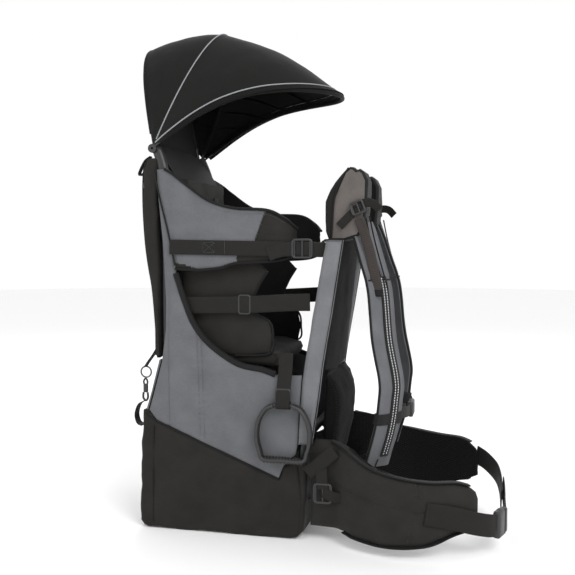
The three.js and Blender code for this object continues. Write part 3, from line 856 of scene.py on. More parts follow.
bag = attach(
    pillow("storage_bag", BAG, -138, 138, 7, (BLACK,) * 3, bag_height, 6.0, 1.6, 5), "root",
    ("base_bag",)
)
trim = []
for side in (-1, 1):
    y = side * 137.4
    trim.append(tube("seam_piping", [(x, y, z) for x, z in SEAM[:3]], 1.5, BINDING, 60))
    trim.append(
        stitches(
            "bag_stitches", [(x + 3, side * 138.2, z - 4) for x, z in SEAM[1:3]], (0, side, 0), DARK_THREAD
        )
    )
    trim.append(tube("gusset_piping", [(x, side * 136.8, z) for x, z in GUSSET], 1.1, BINDING, 40))
    trim.append(tube("front_piping", [(x, side * 137.0, z) for x, z in FRONT_GUSSET], 1.1, BINDING, 30))
trim.append(
    webbing(
        "bag_zip", [(-151.6, -118, 196), (-156.4, -118, 110), (-159.4, -118, 30)], 9, (0, 1, 0), BINDING,
        1.2
    )
)
trim.append(
    webbing(
        "bag_zip_front", [(156.6, -96, 132), (158.4, 0, 134), (156.6, 96, 132)], 9, (0, 0, 1), BINDING, 1.2
    )
)
attach(merged("bag_trim", trim), "root")

# ---------------------------------------------------------------- grey side panels and sleeves

SLEEVE_REAR = [(188.6, 525), (172, 430), (152, 312), (147, 280), (144, 240), (140, 168)]
SLEEVE_FRONT = [(163, 168), (174, 240), (183, 312), (201, 420), (217.5, 525)]
CUT_OUT = [(-84, 466), (-68, 418), (-49, 374), (-19, 339), (31, 307), (76, 298), (100, 290)]
PANEL = [(x, z + 0.8) for x, z in SEAM] + [(136, 151)] + [
    (x - 1, z) for x, z in SLEEVE_REAR[:2:-1]
] + [(147, 290), (120, 289)]
PANEL += CUT_OUT[::-1] + [
    (-84.5, 642), (-100, 653), (-119, 650), (-116, 597), (-109, 525), (-103, 418), (-104, 364), (-112, 305),
    (-130, 240)
]
PANEL_SEAM = [(-99, 440), (-101, 330), (-100, 240), (-99, 188)]
PANEL_DART = [(-44, 366), (-42, 300), (-40, 240), (-38, 174)]
PANEL_DART_2 = [(-36, 356), (-34, 300), (-32, 240), (-30, 170)]
GUSSET_SEAM = [(-122, 650), (-111, 596), (-98, 545), (-84, 480)]


def panel_height(x, z, gap):
    puff = 2.0 * (1 - np.exp(-gap / 16)) + 1.6 * flat_noise(x, z, 70, 110, 7) * (1 - np.exp(-gap / 15))
    sewn = groove(x, z, PANEL_SEAM, 1.3, 2.0, 0.5, 10) + groove(x, z, PANEL_DART, 1.2, 1.8, 1.0, 13) + groove(
        x, z, PANEL_DART_2, 1.2, 1.8, 1.0, 11
    )
    return puff - 2 + sewn + groove(x, z, [(-105, 478), (-84, 476)], 1.0, 1.8)


def sleeve_height(x, z, gap):
    return 2.4 * (1 - np.exp(-gap / 9)) - 2.4 + 0.7 * flat_noise(x, z, 30, 60, 9)


def along_side(line, y):
    return [(x, y, z) for x, z in line]


for name, side in SIDES:
    face = side * 140.0
    panel = patch("panel_" + name, PANEL, side_plane(face), 5.4, (GREY, GREY), panel_height, 5.0)
    attach(panel, "root", ("side_panel_" + name,))
    # The sleeves take the paler copy of the grey polyester, which is painted light.
    sleeve = pillow(
        "sleeve_" + name, SLEEVE_REAR + SLEEVE_FRONT, face, side * 114.2, 6.5, (SLEEVE_LIT_GREY,) * 3,
        sleeve_height, 5.0, 0.5, 11
    )
    attach(sleeve, "root", ("frame_sleeve_" + name,))
    edge = [
        sweep(
            "cut_out_binding", smooth(along_side(CUT_OUT, face - side * 2.4), 70), band_section(11, 7.5),
            (0.78, 0, 0.62), BINDING
        ),
        tube("gusset_seam", along_side(GUSSET_SEAM, face + side * 1.2), 1.6, BINDING, 60),
        tube(
            "sleeve_top_piping",
            [
                (187, face + side * 0.6, 525), (202, face + side * 1.0, 525.5),
                (217.5, face + side * 0.6, 525)
            ],
            1.2, BINDING, 20
        ),
        tube("sleeve_front_piping", along_side(SLEEVE_FRONT, face + side * -5.0), 1.0, BINDING, 60),
        stitches("dart_stitches", along_side(PANEL_DART, face + side * 0.1), (0, side, 0)),
        stitches("dart_stitches_2", along_side(PANEL_DART_2, face + side * 0.1), (0, side, 0)),
        stitches(
            "panel_stitches", along_side([(x + 3, z) for x, z in PANEL_SEAM], face + side * 0.4),
            (0, side, 0)
        ),
        stitches(
            "sleeve_stitches", along_side([(x + 5, z) for x, z in SLEEVE_REAR], face + side * -0.6),
            (0, side, 0)
        ),
    ]
    attach(merged("panel_trim_" + name, edge), "root")

# ---------------------------------------------------------------- cockpit wings and their straps

WING = [
    (-119, 651), (-104, 652), (-84.6, 640), (-64, 624), (-22, 595), (24, 581), (84, 577), (115, 562),
    (134, 545), (136, 500), (100, 489), (29, 484), (0, 476), (-41, 472), (-84.6, 474), (-98, 545),
    (-111, 596)
]
WING_PATH = [(-122, 137.8), (-86, 137.6), (-20, 137), (45, 137), (95, 131), (121, 120), (136, 103)]
WING_FRONT = [(82, 576), (72, 548), (64, 526)]
WING_CREASE = [(-84, 532), (134, 532)]


def wing_height(x, z, gap):
    puff = 3.0 * (1 - np.exp(-gap / 14)) + 1.4 * flat_noise(x, z, 48, 30, 15) * (1 - np.exp(-gap / 14))
    sewn = groove(x, z, WING_FRONT, 1.3, 2.0, 0.6, 9)
    return puff - 2.4 + sewn + groove(x, z, WING_CREASE, 0.9, 3.0, 0.5, 15, 10)


def wing_dark(x, z):
    """The charcoal front of the wing, and its charcoal part below the strap."""
    ahead = x > np.interp(z, [526, 576], [64, 82])
    below = (z < 500) & ((x > 30) | (z < 478 - 6 * np.cos(math.pi * np.clip((x + 28) / 56, -1, 1))))
    return ahead | below


UPPER_PATH = [(-93, 143.4), (-20, 143.2), (45, 143.2), (98, 139.4), (126, 132.5), (160, 128), (186, 127)]
SEWING_Y = 144.6


def ladder_lock(name, width, height, thickness=4.2, bars=(-0.36, 0.0, 0.36)):
    """A strap adjuster lying flat: a rounded frame with cross bars, its bars along Z."""
    radius = thickness / 2
    reach, tall = width / 2 - radius, height / 2 - radius
    corner = min(reach, tall) * 0.35
    loop = rounded_ring(-reach, reach, -tall, tall, corner, 48)
    path = np.stack([loop[:, 0], np.zeros(48), loop[:, 1]], -1)
    pieces = [sweep(name, path, round_section(radius, 10), (0, 1, 0), PLASTIC, closed=True)]
    for at in bars:
        pieces.append(
            tube(
                name, [(at * width, 0.6, -tall), (at * width, 0.6, 0), (at * width, 0.6, tall)],
                radius * 0.8, PLASTIC, 6
            )
        )
    return merged(name, pieces)


for name, side in SIDES:
    surface = bent_plane(WING_PATH, side, 2.6)
    wing = patch(
        "wing_" + name, WING, surface, 4.8, (GREY, LINING, CHARCOAL), wing_height, 4.0, zone=wing_dark
    )
    attach(wing, "root", ("cockpit_wing_" + name,))

    def on_wing(line, out=0.0, surface=surface):
        curve = smooth([(x, 0, z) for x, z in line], 80)
        place, normal = surface(curve[:, 0], curve[:, 2])
        return place + normal * out

    rim = on_wing(WING[1:9], -1.6)
    lower = on_wing(WING[9:15], -1.6)
    edges = [
        sweep("wing_binding", rim, band_section(5, 6.4), (0, 0, 1), BINDING),
        sweep("wing_lower_binding", lower, band_section(5, 6.0), (0, 0, 1), BINDING),
        stitches("wing_stitches", on_wing([(x, z - 8) for x, z in WING[3:8]], 0.5), (0, side, 0)),
        tube("wing_front_seam", on_wing(WING_FRONT, 0.2), 0.8, DARK_THREAD, 20),
    ]
    attach(merged("wing_trim_" + name, edges), "root")
    upper = [(x, side * y, 513 - (x + 93) * 0.018) for x, y in UPPER_PATH]
    strap = webbing("upper_web_" + name, upper, 26, (0, 0, 1), thickness=2.2, ripple=0.5)
    attach(strap, "root", ("upper_strap_" + name,))
    box = [(-30, 503), (-8, 503), (-8, 521), (-30, 521), (-30, 503), (-8, 521), (-8, 503), (-30, 521)]
    sewn = []
    for (ax, az), (bx, bz) in zip(box, box[1:]):
        seam = [(ax, side * SEWING_Y, az), (bx, side * SEWING_Y, bz)]
        sewn.append(stitches("box_stitches", seam, (0, side, 0), pitch=3.2, length=2.2))
    bar = [(10, side * SEWING_Y, 500), (10, side * SEWING_Y, 525)]
    sewn.append(stitches("bar_stitches", bar, (0, side, 0), pitch=2.2, length=1.9))
    attach(merged("upper_sewing_" + name, sewn), "root")
    lock = ladder_lock("upper_lock_" + name, 38, 35)
    settle(lock, (146, side * 131.6, 510), (0.98, -side * -0.02 - side * 0.17, 0), (0, 0, 1))
    attach(lock, "root", ("upper_ladder_lock_" + name,))
    tail = webbing(
        "upper_tail_" + name, [(128, side * 134.5, 509), (108, side * 140, 507), (88, side * 142, 500)], 24,
        (0, 0, 1), thickness=1.8
    )
    attach(tail, "root")
    lower_y = side * 131.2
    low = webbing(
        "lower_web_" + name,
        [
            (-75, lower_y, 408), (0, lower_y, 410), (60, lower_y, 412), (125, lower_y, 416),
            (160, lower_y, 417)
        ],
        30, (0, 0, 1), thickness=2.2, ripple=0.6
    )
    attach(low, "root", ("lower_strap_" + name,))
    glide = ladder_lock("glide_" + name, 24, 36, 3.6, (0.0,))
    settle(glide, (42, side * 131.4, 411.5), (1, 0, 0), (0, 0, 1))
    attach(glide, name + "_glide", ("tri_glide_" + name,))

# ---------------------------------------------------------------- child's seat

SEAT_BACK = [(-97, 338), (-79, 338), (-72, 636), (-90, 640)]
SEAT_BASE = [(-98, 306), (92, 300), (97, 312), (92, 322), (60, 330), (-40, 334), (-98, 337)]
SEAT_WALL = [
    (-78, 330), (20, 318), (84, 324), (90, 352), (84, 380), (50, 402), (62, 440), (80, 470), (62, 489),
    (-80, 489)
]


def quilted(x, z, gap):
    return 3.0 * (1 - np.exp(-gap / 12)) - 1.5 + 0.8 * flat_noise(x, z, 40, 40, 21)


seat_back = pillow("seat_back", SEAT_BACK, -111, 111, 8, (BLACK,) * 3, quilted, 8.0, 1.4, 22)
attach(seat_back, "root", ("child_backrest",))
seat_base = pillow("seat_base", SEAT_BASE, -112, 112, 9, (BLACK,) * 3, quilted, 8.0, 1.2, 23)
attach(seat_base, "root", ("child_seat",))
walls = []
for name, side in SIDES:
    walls.append(
        patch(
            "seat_wall_" + name, SEAT_WALL, side_plane(side * 116.6), 4.0, (CHARCOAL, LINING), quilted, 7.0
        )
    )
    walls.append(
        tube("seat_wall_piping", [(x, side * 115.5, z) for x, z in SEAT_WALL[1:8]], 2.0, BINDING, 60)
    )
attach(merged("seat_walls", walls), "root")
harness = []
for side in (-1, 1):
    path = [(-68, side * 44, 610), (-71, side * 44, 480), (-69, side * 36, 400), (-56, side * 16, 366)]
    harness.append(webbing("harness_strap", path, 24, (0, 1, 0), thickness=2.2))
    pad = [(-64, side * 44, 590), (-66.5, side * 44, 500), (-66, side * 41, 440)]
    harness.append(sweep("harness_pad", smooth(pad, 20), band_section(40, 7), (0, 1, 0), MESH))
attach(merged("harness", harness), "root", ("child_harness",))
clasp = settle(block((32, 13, 40), 3, PLASTIC, "harness_clasp"), (-50, 0, 358), (0, 1, 0), (0.2, 0, 1))
attach(clasp, "root")

# ---------------------------------------------------------------- rear day pack and rear wall

PACK = [
    (-121, 312), (-121, 672), (-139, 672), (-149, 651), (-151, 597), (-148, 534), (-143, 489), (-134, 435),
    (-128, 363), (-125, 312)
]
PACK_BACK = PACK[2:]


def pack_height(x, z, gap):
    return 1.0 * (1 - np.exp(-gap / 8)) - 1.0


pack = pillow("day_pack_cloth", PACK, -131, 131, 6, (BLACK,) * 3, pack_height, 5.0, 1.6, 31)
attach(pack, "root", ("day_pack",))


def on_pack(z, out=0.0):
    line = np.array(PACK_BACK[::-1])
    return np.interp(z, line[:, 1], line[:, 0]) - out


def pack_line(points, out):
    curve = smooth([(0, y, z) for y, z in points], 60)
    curve[:, 0] = on_pack(curve[:, 2], out)
    return curve


details = []
for side in (-1, 1):
    details.append(
        tube(
            "pack_piping", along_side([(x + 1.2, z) for x, z in PACK_BACK], side * 128.0), 1.3, BINDING, 70
        )
    )
    details.append(
        sweep(
            "pack_zip", pack_line([(side * 112, 330), (side * 112, 500), (side * 110, 640)], 0.8),
            band_section(8, 1.6), (0, 1, 0), BINDING
        )
    )
    for z in (626, 462):
        pull = settle(
            block((3, 5, 20), 1.0, PLASTIC, "zip_pull"), (on_pack(z, 3.0), side * 112, z), (1, 0, 0),
            (0, 0, 1)
        )
        details.append(pull)
arch = [(-96, 340), (-98, 470), (-84, 560), (0, 590), (84, 560), (98, 470), (96, 340)]
details.append(sweep("pocket_zip", pack_line(arch, 0.8), band_section(7, 1.6), (0, 0, 1), BINDING))
details.append(
    tube("pocket_seam", pack_line([(y * 1.06, z + 8) for y, z in arch], 0.2), 0.9, DARK_THREAD, 80)
)
details.append(
    stitches(
        "pocket_stitches", pack_line([(y * 0.94, z - 7) for y, z in arch], 0.4), (-1, 0, 0), DARK_THREAD
    )
)
details.append(
    webbing(
        "haul_loop", [(-138, -16, 668), (-146, -10, 680), (-146, 10, 680), (-138, 16, 668)], 16, (1, 0, 0.3)
    )
)
details.append(
    sweep(
        "corner_tab",
        smooth(
            [
                (-136, -122, 676), (-147, -122, 668), (-157, -122, 650), (-158, -122, 643),
                (-150, -122, 646), (-146, -122, 655)
            ],
            30
        ),
        band_section(12, 2.4), (0, 1, 0), WEBBING
    )
)
attach(merged("pack_trim", details), "root")


def wall_plane(u, v):
    x = -146 + (v - 217) * (26.5 / 94)
    place = np.stack([x, u, v], -1)
    return place, np.broadcast_to(unit(np.array([-1.0, 0.0, 0.28])), place.shape)


WALL = [(-133, 218), (133, 218), (133, 310), (-133, 310)]


def wall_height(u, v, gap):
    return 1.5 * (1 - np.exp(-gap / 12)) - 1.2 + flat_noise(u, v, 50, 30, 33)


rear_wall = patch("rear_wall", WALL, wall_plane, 5.0, (GREY, GREY), wall_height, 7.0)
attach(rear_wall, "root", ("rear_panel",))

hook = [
    settle(block((9, 5, 16), 2, PLASTIC, "hook_body"), (-150, -122, 254), (1, 0, 0), (0, 0, 1)),
    tube(
        "hook_bow",
        [(-154.5, -122, 246), (-155, -122, 236), (-150, -122, 231), (-146, -122, 236), (-146.4, -122, 246)],
        2.0, PLASTIC, 24
    ),
    tube(
        "hook_eye",
        [
            (-152.5, -122, 260), (-154, -122, 266), (-150, -122, 272), (-146.5, -122, 266),
            (-147.5, -122, 260)
        ],
        1.7, PLASTIC, 20
    ),
]
attach(merged("snap_hook", hook), "hook", ("rear_hook",))
ties = [
    webbing(
        "ring_tie", [(-125, -122, 330), (-134, -122, 316), (-143, -122, 304), (-149.5, -122, 294.5)], 16,
        (0, 1, 0), thickness=1.8, count=20
    ),
    webbing(
        "hook_tie",
        [(-151, -122, 231), (-162, -122, 224), (-168, -122, 206), (-164, -122, 190), (-155, -122, 186)], 20,
        (0, 1, 0), thickness=1.8, count=16
    ),
]
attach(merged("rear_ties", ties), "root")

# ---------------------------------------------------------------- wearer's back panel and lumbar pad

BACK = [
    (187, 296), (193, 296), (198, 330), (206, 400), (215, 480), (221, 527), (204, 527), (201, 480),
    (190, 400), (184, 330)
]
LUMBAR = [
    (178, 126), (199, 128), (208, 170), (214, 215), (212, 250), (204, 272), (192, 286), (184, 286),
    (180, 250), (175, 200)
]


def curved_back(points):
    """The pads fall away from the wearer towards their two sides."""
    points = points.copy()
    depth = np.clip((points[:, 0] - 178) / 20, 0, 1)
    points[:, 0] -= depth * 13 * np.abs(points[:, 1] / 110) ** 2.4
    return points


back = pillow("back_pad", BACK, -111, 111, 7, (BINDING, MESH, BINDING), None, 6.0, 1.2, 41, curved_back)
attach(back, "root", ("back_panel",))
lumbar = pillow("lumbar_cushion", LUMBAR, -97, 97, 10, (MESH,) * 3, quilted, 6.0, 1.4, 42, curved_back)
attach(lumbar, "root", ("lumbar_pad",))

# ---------------------------------------------------------------- shoulder straps

YOKE = [
    (183, 540), (182, 592), (190, 612), (199, 626), (208, 637), (216, 646), (224, 652), (231, 651),
    (236, 646), (242, 648), (249, 643), (256, 628), (256, 593), (251, 545), (241, 531), (216, 523),
    (189, 523)
]
YOKE_RIDGE = [(233, 648), (231, 600), (229, 560)]
YOKE_EDGE = [(222, 650), (208, 628), (199, 596), (196, 560), (194, 524)]
STRAP_PATH = [
    (240, -80, 554), (248, -84, 534), (262, -94, 490), (277, -104, 439), (286, -111, 353), (299, -115, 285),
    (298, -115, 250), (291, -112, 200), (273, -108, 134)
]
STRAP_ACROSS = np.array([0.57, 0.82, 0.0])
STRAP_FACE = np.array([0.82, -0.57, 0.0])


def yoke_height(x, z, gap):
    ridge, _ = distance_to(x, z, YOKE_RIDGE)
    crest = 1.8 * np.exp(-((ridge / 5) ** 2)) + groove(x, z, YOKE_EDGE, 1.5, 2.0)
    return 3.5 * (1 - np.exp(-gap / 11)) - 3.0 + crest + 1.0 * flat_noise(x, z, 25, 40, 51)


def padded_section(width, thickness, count=9):
    """A padded strap's section: a domed face, a flat back and full edges."""
    across = np.linspace(-1, 1, count)
    crown = thickness / 2 * (1 - 0.35 * across**4)
    face = np.stack([across * width / 2, crown], -1)
    under = np.stack([across[::-1] * width / 2, -crown[::-1]], -1)
    edge = np.array([[width / 2 + thickness * 0.12, 0.0]])
    return np.vstack([face, edge, under, -edge])


def mirror_y(points, side):
    points = np.array(points, float)
    points[:, 1] *= -side
    return points


def yoke_turn(side):
    """The yoke leans inward over the shoulder as it rises."""

    def move(points):
        points = points.copy()
        rise = np.clip((points[:, 2] - 560) / 90, 0, 1)
        points[:, 1] -= side * rise**2 * 9
        return points

    return move


for name, side in SIDES:
    skins = (YOKE_CLOTH, BINDING, MESH)
    yoke = pillow(
        "yoke_" + name, YOKE, side * 112, side * 50, 5, skins, yoke_height, 5.0, 1.0, 52, yoke_turn(side)
    )
    attach(yoke, "root", ("shoulder_yoke_" + name,))
    edge_line = yoke_turn(side)(smooth(along_side(YOKE_EDGE, side * 112.8), 50))
    attach(tube("yoke_piping_" + name, edge_line, 1.3, BINDING, 50), "root")
    path = smooth(mirror_y(STRAP_PATH, side), 90)
    across = STRAP_ACROSS * (1, -side, 1)
    face = STRAP_FACE * (1, -side, 1)
    wide, thick = frames_along(path, across)
    if thick[40] @ face < 0:
        thick = -thick
    section = padded_section(58, 12)
    rings = []
    for i, (at, w, t) in enumerate(zip(path, wide, thick)):
        lump = 1 + 0.05 * math.sin(i * 0.55) * math.sin(i * 0.13)
        pinch = 0.72 if i in (21, 22) else 1.0
        rings.append(at + section[:, :1] * w + section[:, 1:] * t * lump * pinch)
    strap = loft("strap_" + name, rings, [GREY])
    attach(strap, "root", ("shoulder_strap_" + name,))
    binding = [
        sweep("strap_binding", path + wide * (edge * 29.6), round_section(2.4, 10), across, BINDING)
        for edge in (-1, 1)
    ]
    binding.append(stitches("strap_stitches", (path + wide * 24 + thick * 6.0)[4:86], thick[40], THREAD))
    binding.append(
        tube(
            "strap_seam", path[22] + np.outer(np.linspace(-28, 28, 8), wide[22]) + thick[22] * 4.8, 1.2,
            BINDING, 20
        )
    )
    attach(merged("strap_trim_" + name, binding), "root")
    elastic = [
        (243, side * 118.5, 562), (254, side * 117, 530), (263, side * 118, 500), (271, side * 121, 462),
        (276, side * 122, 440)
    ]
    elastic_piece = sweep(
        "elastic_" + name, smooth(elastic, 60), band_section(18, 3.4), (1, side * 0.2, 0), ELASTIC
    )
    attach(elastic_piece, "root")
    end_block = settle(
        block((18, 5, 12), 1.5, BINDING, "elastic_end_" + name), (277, side * 122, 434), (1, side * 0.2, 0),
        (0, 0, 1)
    )
    attach(end_block, "root")
    lower = path[21:86] + thick[21:86] * 7.2 + wide[21:86] * 5
    dashes = [sweep("reflective_web", lower, band_section(20, 1.6), across, BINDING)]
    for offset in (-3.6, 3.6):
        row = lower + wide[21:86] * offset + thick[21:86] * 0.9
        dashes.append(
            stitches(
                "reflective_dashes", row, thick[50], REFLECTIVE, pitch=4.6, length=2.8, width=2.2, lift=0.1
            )
        )
    attach(merged("reflective_" + name, dashes), "root")
    at = int(np.argmin(np.abs(path[:, 2] - 219)))
    hoop = [
        path[k] + section[:, :1] * 1.1 * wide[k] + section[:, 1:] * 1.3 * thick[k]
        for k in range(at - 2, at + 3)
    ]
    attach(loft("sternum_keeper_" + name, hoop, [BINDING]), "sternum")
    cords = []
    for shift in (0, 7):
        cord_path = [
            (252 + shift, side * 104, 566), (262 + shift, side * 102, 520), (284 + shift, side * 100, 440)
        ]
        cords.append(tube("lifter_cord", cord_path, 1.3, BINDING, 30))
    attach(merged("lifter_cords_" + name, cords), "root")
    lifter = [ladder_lock("lifter", 26, 24, 4.0, (-0.34, 0.05))]
    lifter.append(
        webbing(
            "lifter_tail", [(2, 2.0, 2), (16, 3.0, 3), (28, 1.5, -4), (34, 0, -18)], 15, (0, 0, 1),
            thickness=1.6, count=16
        )
    )
    whole = merged("lifter_lock_" + name, lifter)
    settle(whole, (240, side * 119.5, 580), (0.93, 0, 0.36), (-0.36, 0, 0.93))
    attach(whole, "root", ("load_lifter_lock_" + name,))
    feed = webbing(
        "lifter_web_" + name, [(240, side * 118, 579), (226, side * 116.5, 566), (208, side * 116, 548)],
        15, (0.4, 0, 0.9), thickness=1.8
    )
    attach(feed, "root")

# ---------------------------------------------------------------- sternum strap

for name, side in SIDES:
    reach = [(300, side * 92, 216), (313, side * 74, 220), (321, side * 50, 218), (324, side * 20, 216)]
    band = webbing("sternum_web_" + name, reach, 20, (0, 0, 1), thickness=2.2)
    attach(band, "sternum", ("sternum_strap_" + name,))
for name, side in SIDES:
    anchor = [
        (276, side * 109, 146), (262, side * 112, 118), (222, side * 113, 92), (176, side * 114, 76),
        (157, side * 114, 70)
    ]
    attach(
        webbing("strap_anchor_" + name, anchor, 24, (0.2, side * 0.9, 0.1), thickness=2.0), "root",
    )
clip = [
    settle(block((40, 10, 28), 3, PLASTIC, "sternum_shell"), (324.5, 0, 216), (0, 1, 0), (0, 0, 1)),
    settle(block((12, 11.5, 20), 2, PLASTIC, "sternum_release"), (324.5, 0, 216), (0, 1, 0), (0, 0, 1)),
]
attach(merged("sternum_clip", clip), "sternum", ("sternum_buckle",))

# ---------------------------------------------------------------- stirrups

RING_LINE = [
    (-17, -18), (-31, -25), (-42, -42), (-47, -61), (-47, -80), (-42, -99), (-35, -113), (0, -113.5),
    (35, -113), (42, -99), (47, -80), (47, -61), (42, -42), (31, -25), (17, -18)
]
for name, side in SIDES:
    middle = np.array([117, side * 151, 257])
    line = smooth([(x, 0, z) for x, z in RING_LINE], 110) + middle
    shape = band_section(17.4, 7.2, 4)
    tread = [sweep("stirrup_ring", line, shape, (0, 1, 0), PLASTIC)]
    for x in np.linspace(-33, 33, 12):
        for reach, drop in ((x, -117.4), (x * 0.92, -109.8)):
            rib = block((2.6, 15, 2.2), 0.5, PLASTIC, "tread_rib")
            tread.append(settle(rib, middle + (reach, 0, drop), (1, 0, 0), (0, 0, 1)))
    tread.append(
        tube(
            "stirrup_bar", [middle + (-18, 0, -18), middle + (0, 0, -18), middle + (18, 0, -18)], 3.8,
            PLASTIC, 10
        )
    )
    attach(merged("stirrup_loop_" + name, tread), name + "_foot_loop", ("stirrup_" + name,))
    slider = ladder_lock("slider", 29, 24, 4.0, (0.0,))
    settle(slider, middle, (1, 0, 0), (0, 0, 1))
    hang = [
        slider,
        webbing(
            "hanger_front",
            [
                (121, side * 143.5, 330), (120, side * 146.5, 300), (118, side * 150, 272),
                (117, side * 154.0, 256), (117, side * 156.6, 240)
            ],
            25, (1, 0, 0), thickness=2.0, count=40
        ),
        webbing(
            "hanger_back", [(118, side * 149, 270), (117, side * 147.5, 256), (117, side * 145.6, 240)], 25,
            (1, 0, 0), thickness=1.8, count=16
        ),
        webbing(
            "hanger_loop",
            [
                (117, side * 156.6, 241), (117, side * 155.6, 235.5), (117, side * 151, 233.2),
                (117, side * 146.4, 235.5), (117, side * 145.6, 241)
            ],
            25, (1, 0, 0), thickness=1.9, count=24
        ),
    ]
    attach(merged("hanger_" + name, hang), "root", ("stirrup_hanger_" + name,))

# ---------------------------------------------------------------- hip belt

HIP_PATH = [
    (156, 131), (185, 131.5), (208, 134), (232, 152), (250, 166), (310, 184), (372, 176), (438, 150),
    (456, 142)
]
HIP = [
    (161, 162), (170, 178), (200, 178), (231, 168), (273, 146), (322, 135), (370, 129), (410, 128),
    (432, 122), (446, 110), (450, 98), (450, 58), (430, 47), (406, 40), (363, 23), (290, 18), (223, 24),
    (161, 26)
]
HIP_SEAM = [(190, 112), (260, 96), (330, 84), (400, 76), (450, 70)]
HIP_CROSS = [(352, 130), (346, 80), (338, 24)]


def hip_height(x, z, gap):
    ripple = 1.5 * flat_noise(x, z, 60, 30, 61) * (1 - np.exp(-gap / 14))
    puff = 6.0 * (1 - np.exp(-gap / 13)) - 4.5 + ripple
    return puff + groove(x, z, HIP_SEAM, 1.8, 2.5, 0.7, 12) + groove(x, z, HIP_CROSS, 1.4, 2.2, 0.6, 9)


def hip_line(side, points, outward):
    """A line of (x, z) points laid on a hip wing, moved outward from its middle."""
    surface = bent_plane(HIP_PATH, side, outward)
    curve = smooth([(x, 0, z) for x, z in points], 90)
    return surface(curve[:, 0], curve[:, 2])


for name, side in SIDES:
    outer = bent_plane(HIP_PATH, side, 8.4)
    wing = patch("hip_pad_" + name, HIP, outer, 15.5, (CHARCOAL, MESH), hip_height, 6.0, roll=6.0)
    attach(wing, "hip_belt_" + name, ("hip_wing_" + name,))
    rim, normal = hip_line(side, HIP[2:9], 1.0)
    low_rim, low_normal = hip_line(side, HIP[12:17], 1.0)
    seam, seam_normal = hip_line(side, HIP_SEAM, 8.8)
    trim = [
        sweep("hip_binding", rim, band_section(13, 2.6), normal, BINDING),
        sweep("hip_binding_low", low_rim, band_section(13, 2.6), low_normal, BINDING),
        stitches("hip_stitches", seam + (0, 0, 3), seam_normal[45], DARK_THREAD),
        stitches("hip_stitches_2", seam - (0, 0, 3), seam_normal[45], DARK_THREAD),
    ]
    for shift in (-4, 4):
        cross, cross_normal = hip_line(side, [(x + shift, z) for x, z in HIP_CROSS], 8.9)
        trim.append(stitches("hip_cross_stitches", cross, cross_normal[45], DARK_THREAD))
    attach(merged("hip_trim_" + name, trim), "hip_belt_" + name)
    y = side * 152.5
    lock = settle(ladder_lock("stabiliser_lock", 34, 36), (187, y - side * 0.5, 90), (1, 0, 0), (0, 0, 1))
    pieces = [
        lock,
        webbing(
            "stabiliser_tape",
            [
                (158, y - side * 5, 122), (176, y - side * 2, 136), (196, y - side * 1, 154),
                (208, y - side * 2, 164)
            ],
            24, (-0.62, 0, 0.78), thickness=1.8, count=20
        ),
        webbing(
            "stabiliser_tape_2", [(184, y - side * 3, 136), (185, y - side * 0.5, 118), (187, y, 98)], 20,
            (1, 0, 0.1), thickness=1.8, count=20
        ),
        webbing(
            "stabiliser_tail",
            [(188, y + side * 0.5, 92), (206, y + side * 1.5, 86), (222, y - side * 0.5, 84)], 18,
            (0, 0, 1), thickness=1.6, count=16
        ),
    ]
    attach(
        merged("stabiliser_" + name, pieces), "hip_belt_" + name, ("stabiliser_lock_" + name,)
    )

BUCKLE = np.array([475.0, -133.0, 50.0])
BUCKLE_WAY = np.array([math.cos(math.radians(70)), math.sin(math.radians(70)), 0.0])
UP = np.array([0.0, 0.0, 1.0])
band = [(364, -189.6, 80), (405, -178.5, 73), (440, -163, 62), (464, -148, 55), (475, -136, 52)]
band_piece = webbing("hip_band", band, 38, (0, 0, 1), thickness=2.4)
attach(band_piece, "hip_belt_right", ("hip_band_right",))
socket = [
    settle(block((30, 12.6, 46), 4, PLASTIC, "socket_shell"), BUCKLE + BUCKLE_WAY * 18, BUCKLE_WAY, UP),
    settle(block((10, 13.6, 30), 2, PLASTIC, "socket_rib"), BUCKLE + BUCKLE_WAY * 12, BUCKLE_WAY, UP),
    settle(block((14, 8, 49), 3, PLASTIC, "socket_arms"), BUCKLE + BUCKLE_WAY * 20, BUCKLE_WAY, UP),
    settle(block((3, 12.9, 42), 1, BINDING, "socket_mouth"), BUCKLE + BUCKLE_WAY * 32.5, BUCKLE_WAY, UP),
]
attach(merged("hip_socket", socket), "hip_belt_right", ("hip_buckle_socket",))
plug = [
    settle(block((13, 11.5, 42), 3, PLASTIC, "plug_tail"), BUCKLE + BUCKLE_WAY * 40.5, BUCKLE_WAY, UP),
    settle(block((24, 4, 7), 1, PLASTIC, "plug_prong"), BUCKLE + BUCKLE_WAY * 24, BUCKLE_WAY, UP),
]
attach(merged("hip_plug", plug), "buckle_end", ("hip_buckle_plug",))
FAR_BELT = [(443, 149, 98), (462, 124, 92), (480, 82, 83), (486.5, 40, 74), (487.5, 0, 67), (487, -30, 63)]
NEAR_BELT = [(491, 30, 72), (492, 0, 67), (492, -30, 62), (491.5, -60, 57), (491.7, -86, 51)]
far = webbing("belt_far", FAR_BELT, 37, (0.05, 0, 1), thickness=2.2)
attach(far, "hip_belt_left", ("hip_webbing_left",))
near = webbing("belt_near", NEAR_BELT, 37, (0.05, 0, 1), thickness=2.2)
attach(near, "buckle_end", ("hip_webbing_end",))

# ---------------------------------------------------------------- sun canopy

HINGE = np.array([-130.0, 0.0, 690.0])
REAR = dict(reach=200, tilt=math.radians(100), span=121, squareness=2.8, brow=0)
MIDDLE = dict(reach=244, tilt=math.radians(66), span=125.6, squareness=2.1, brow=0)
FRONT = dict(reach=338, tilt=math.radians(17.3), span=130.2, squareness=2.3, brow=36)


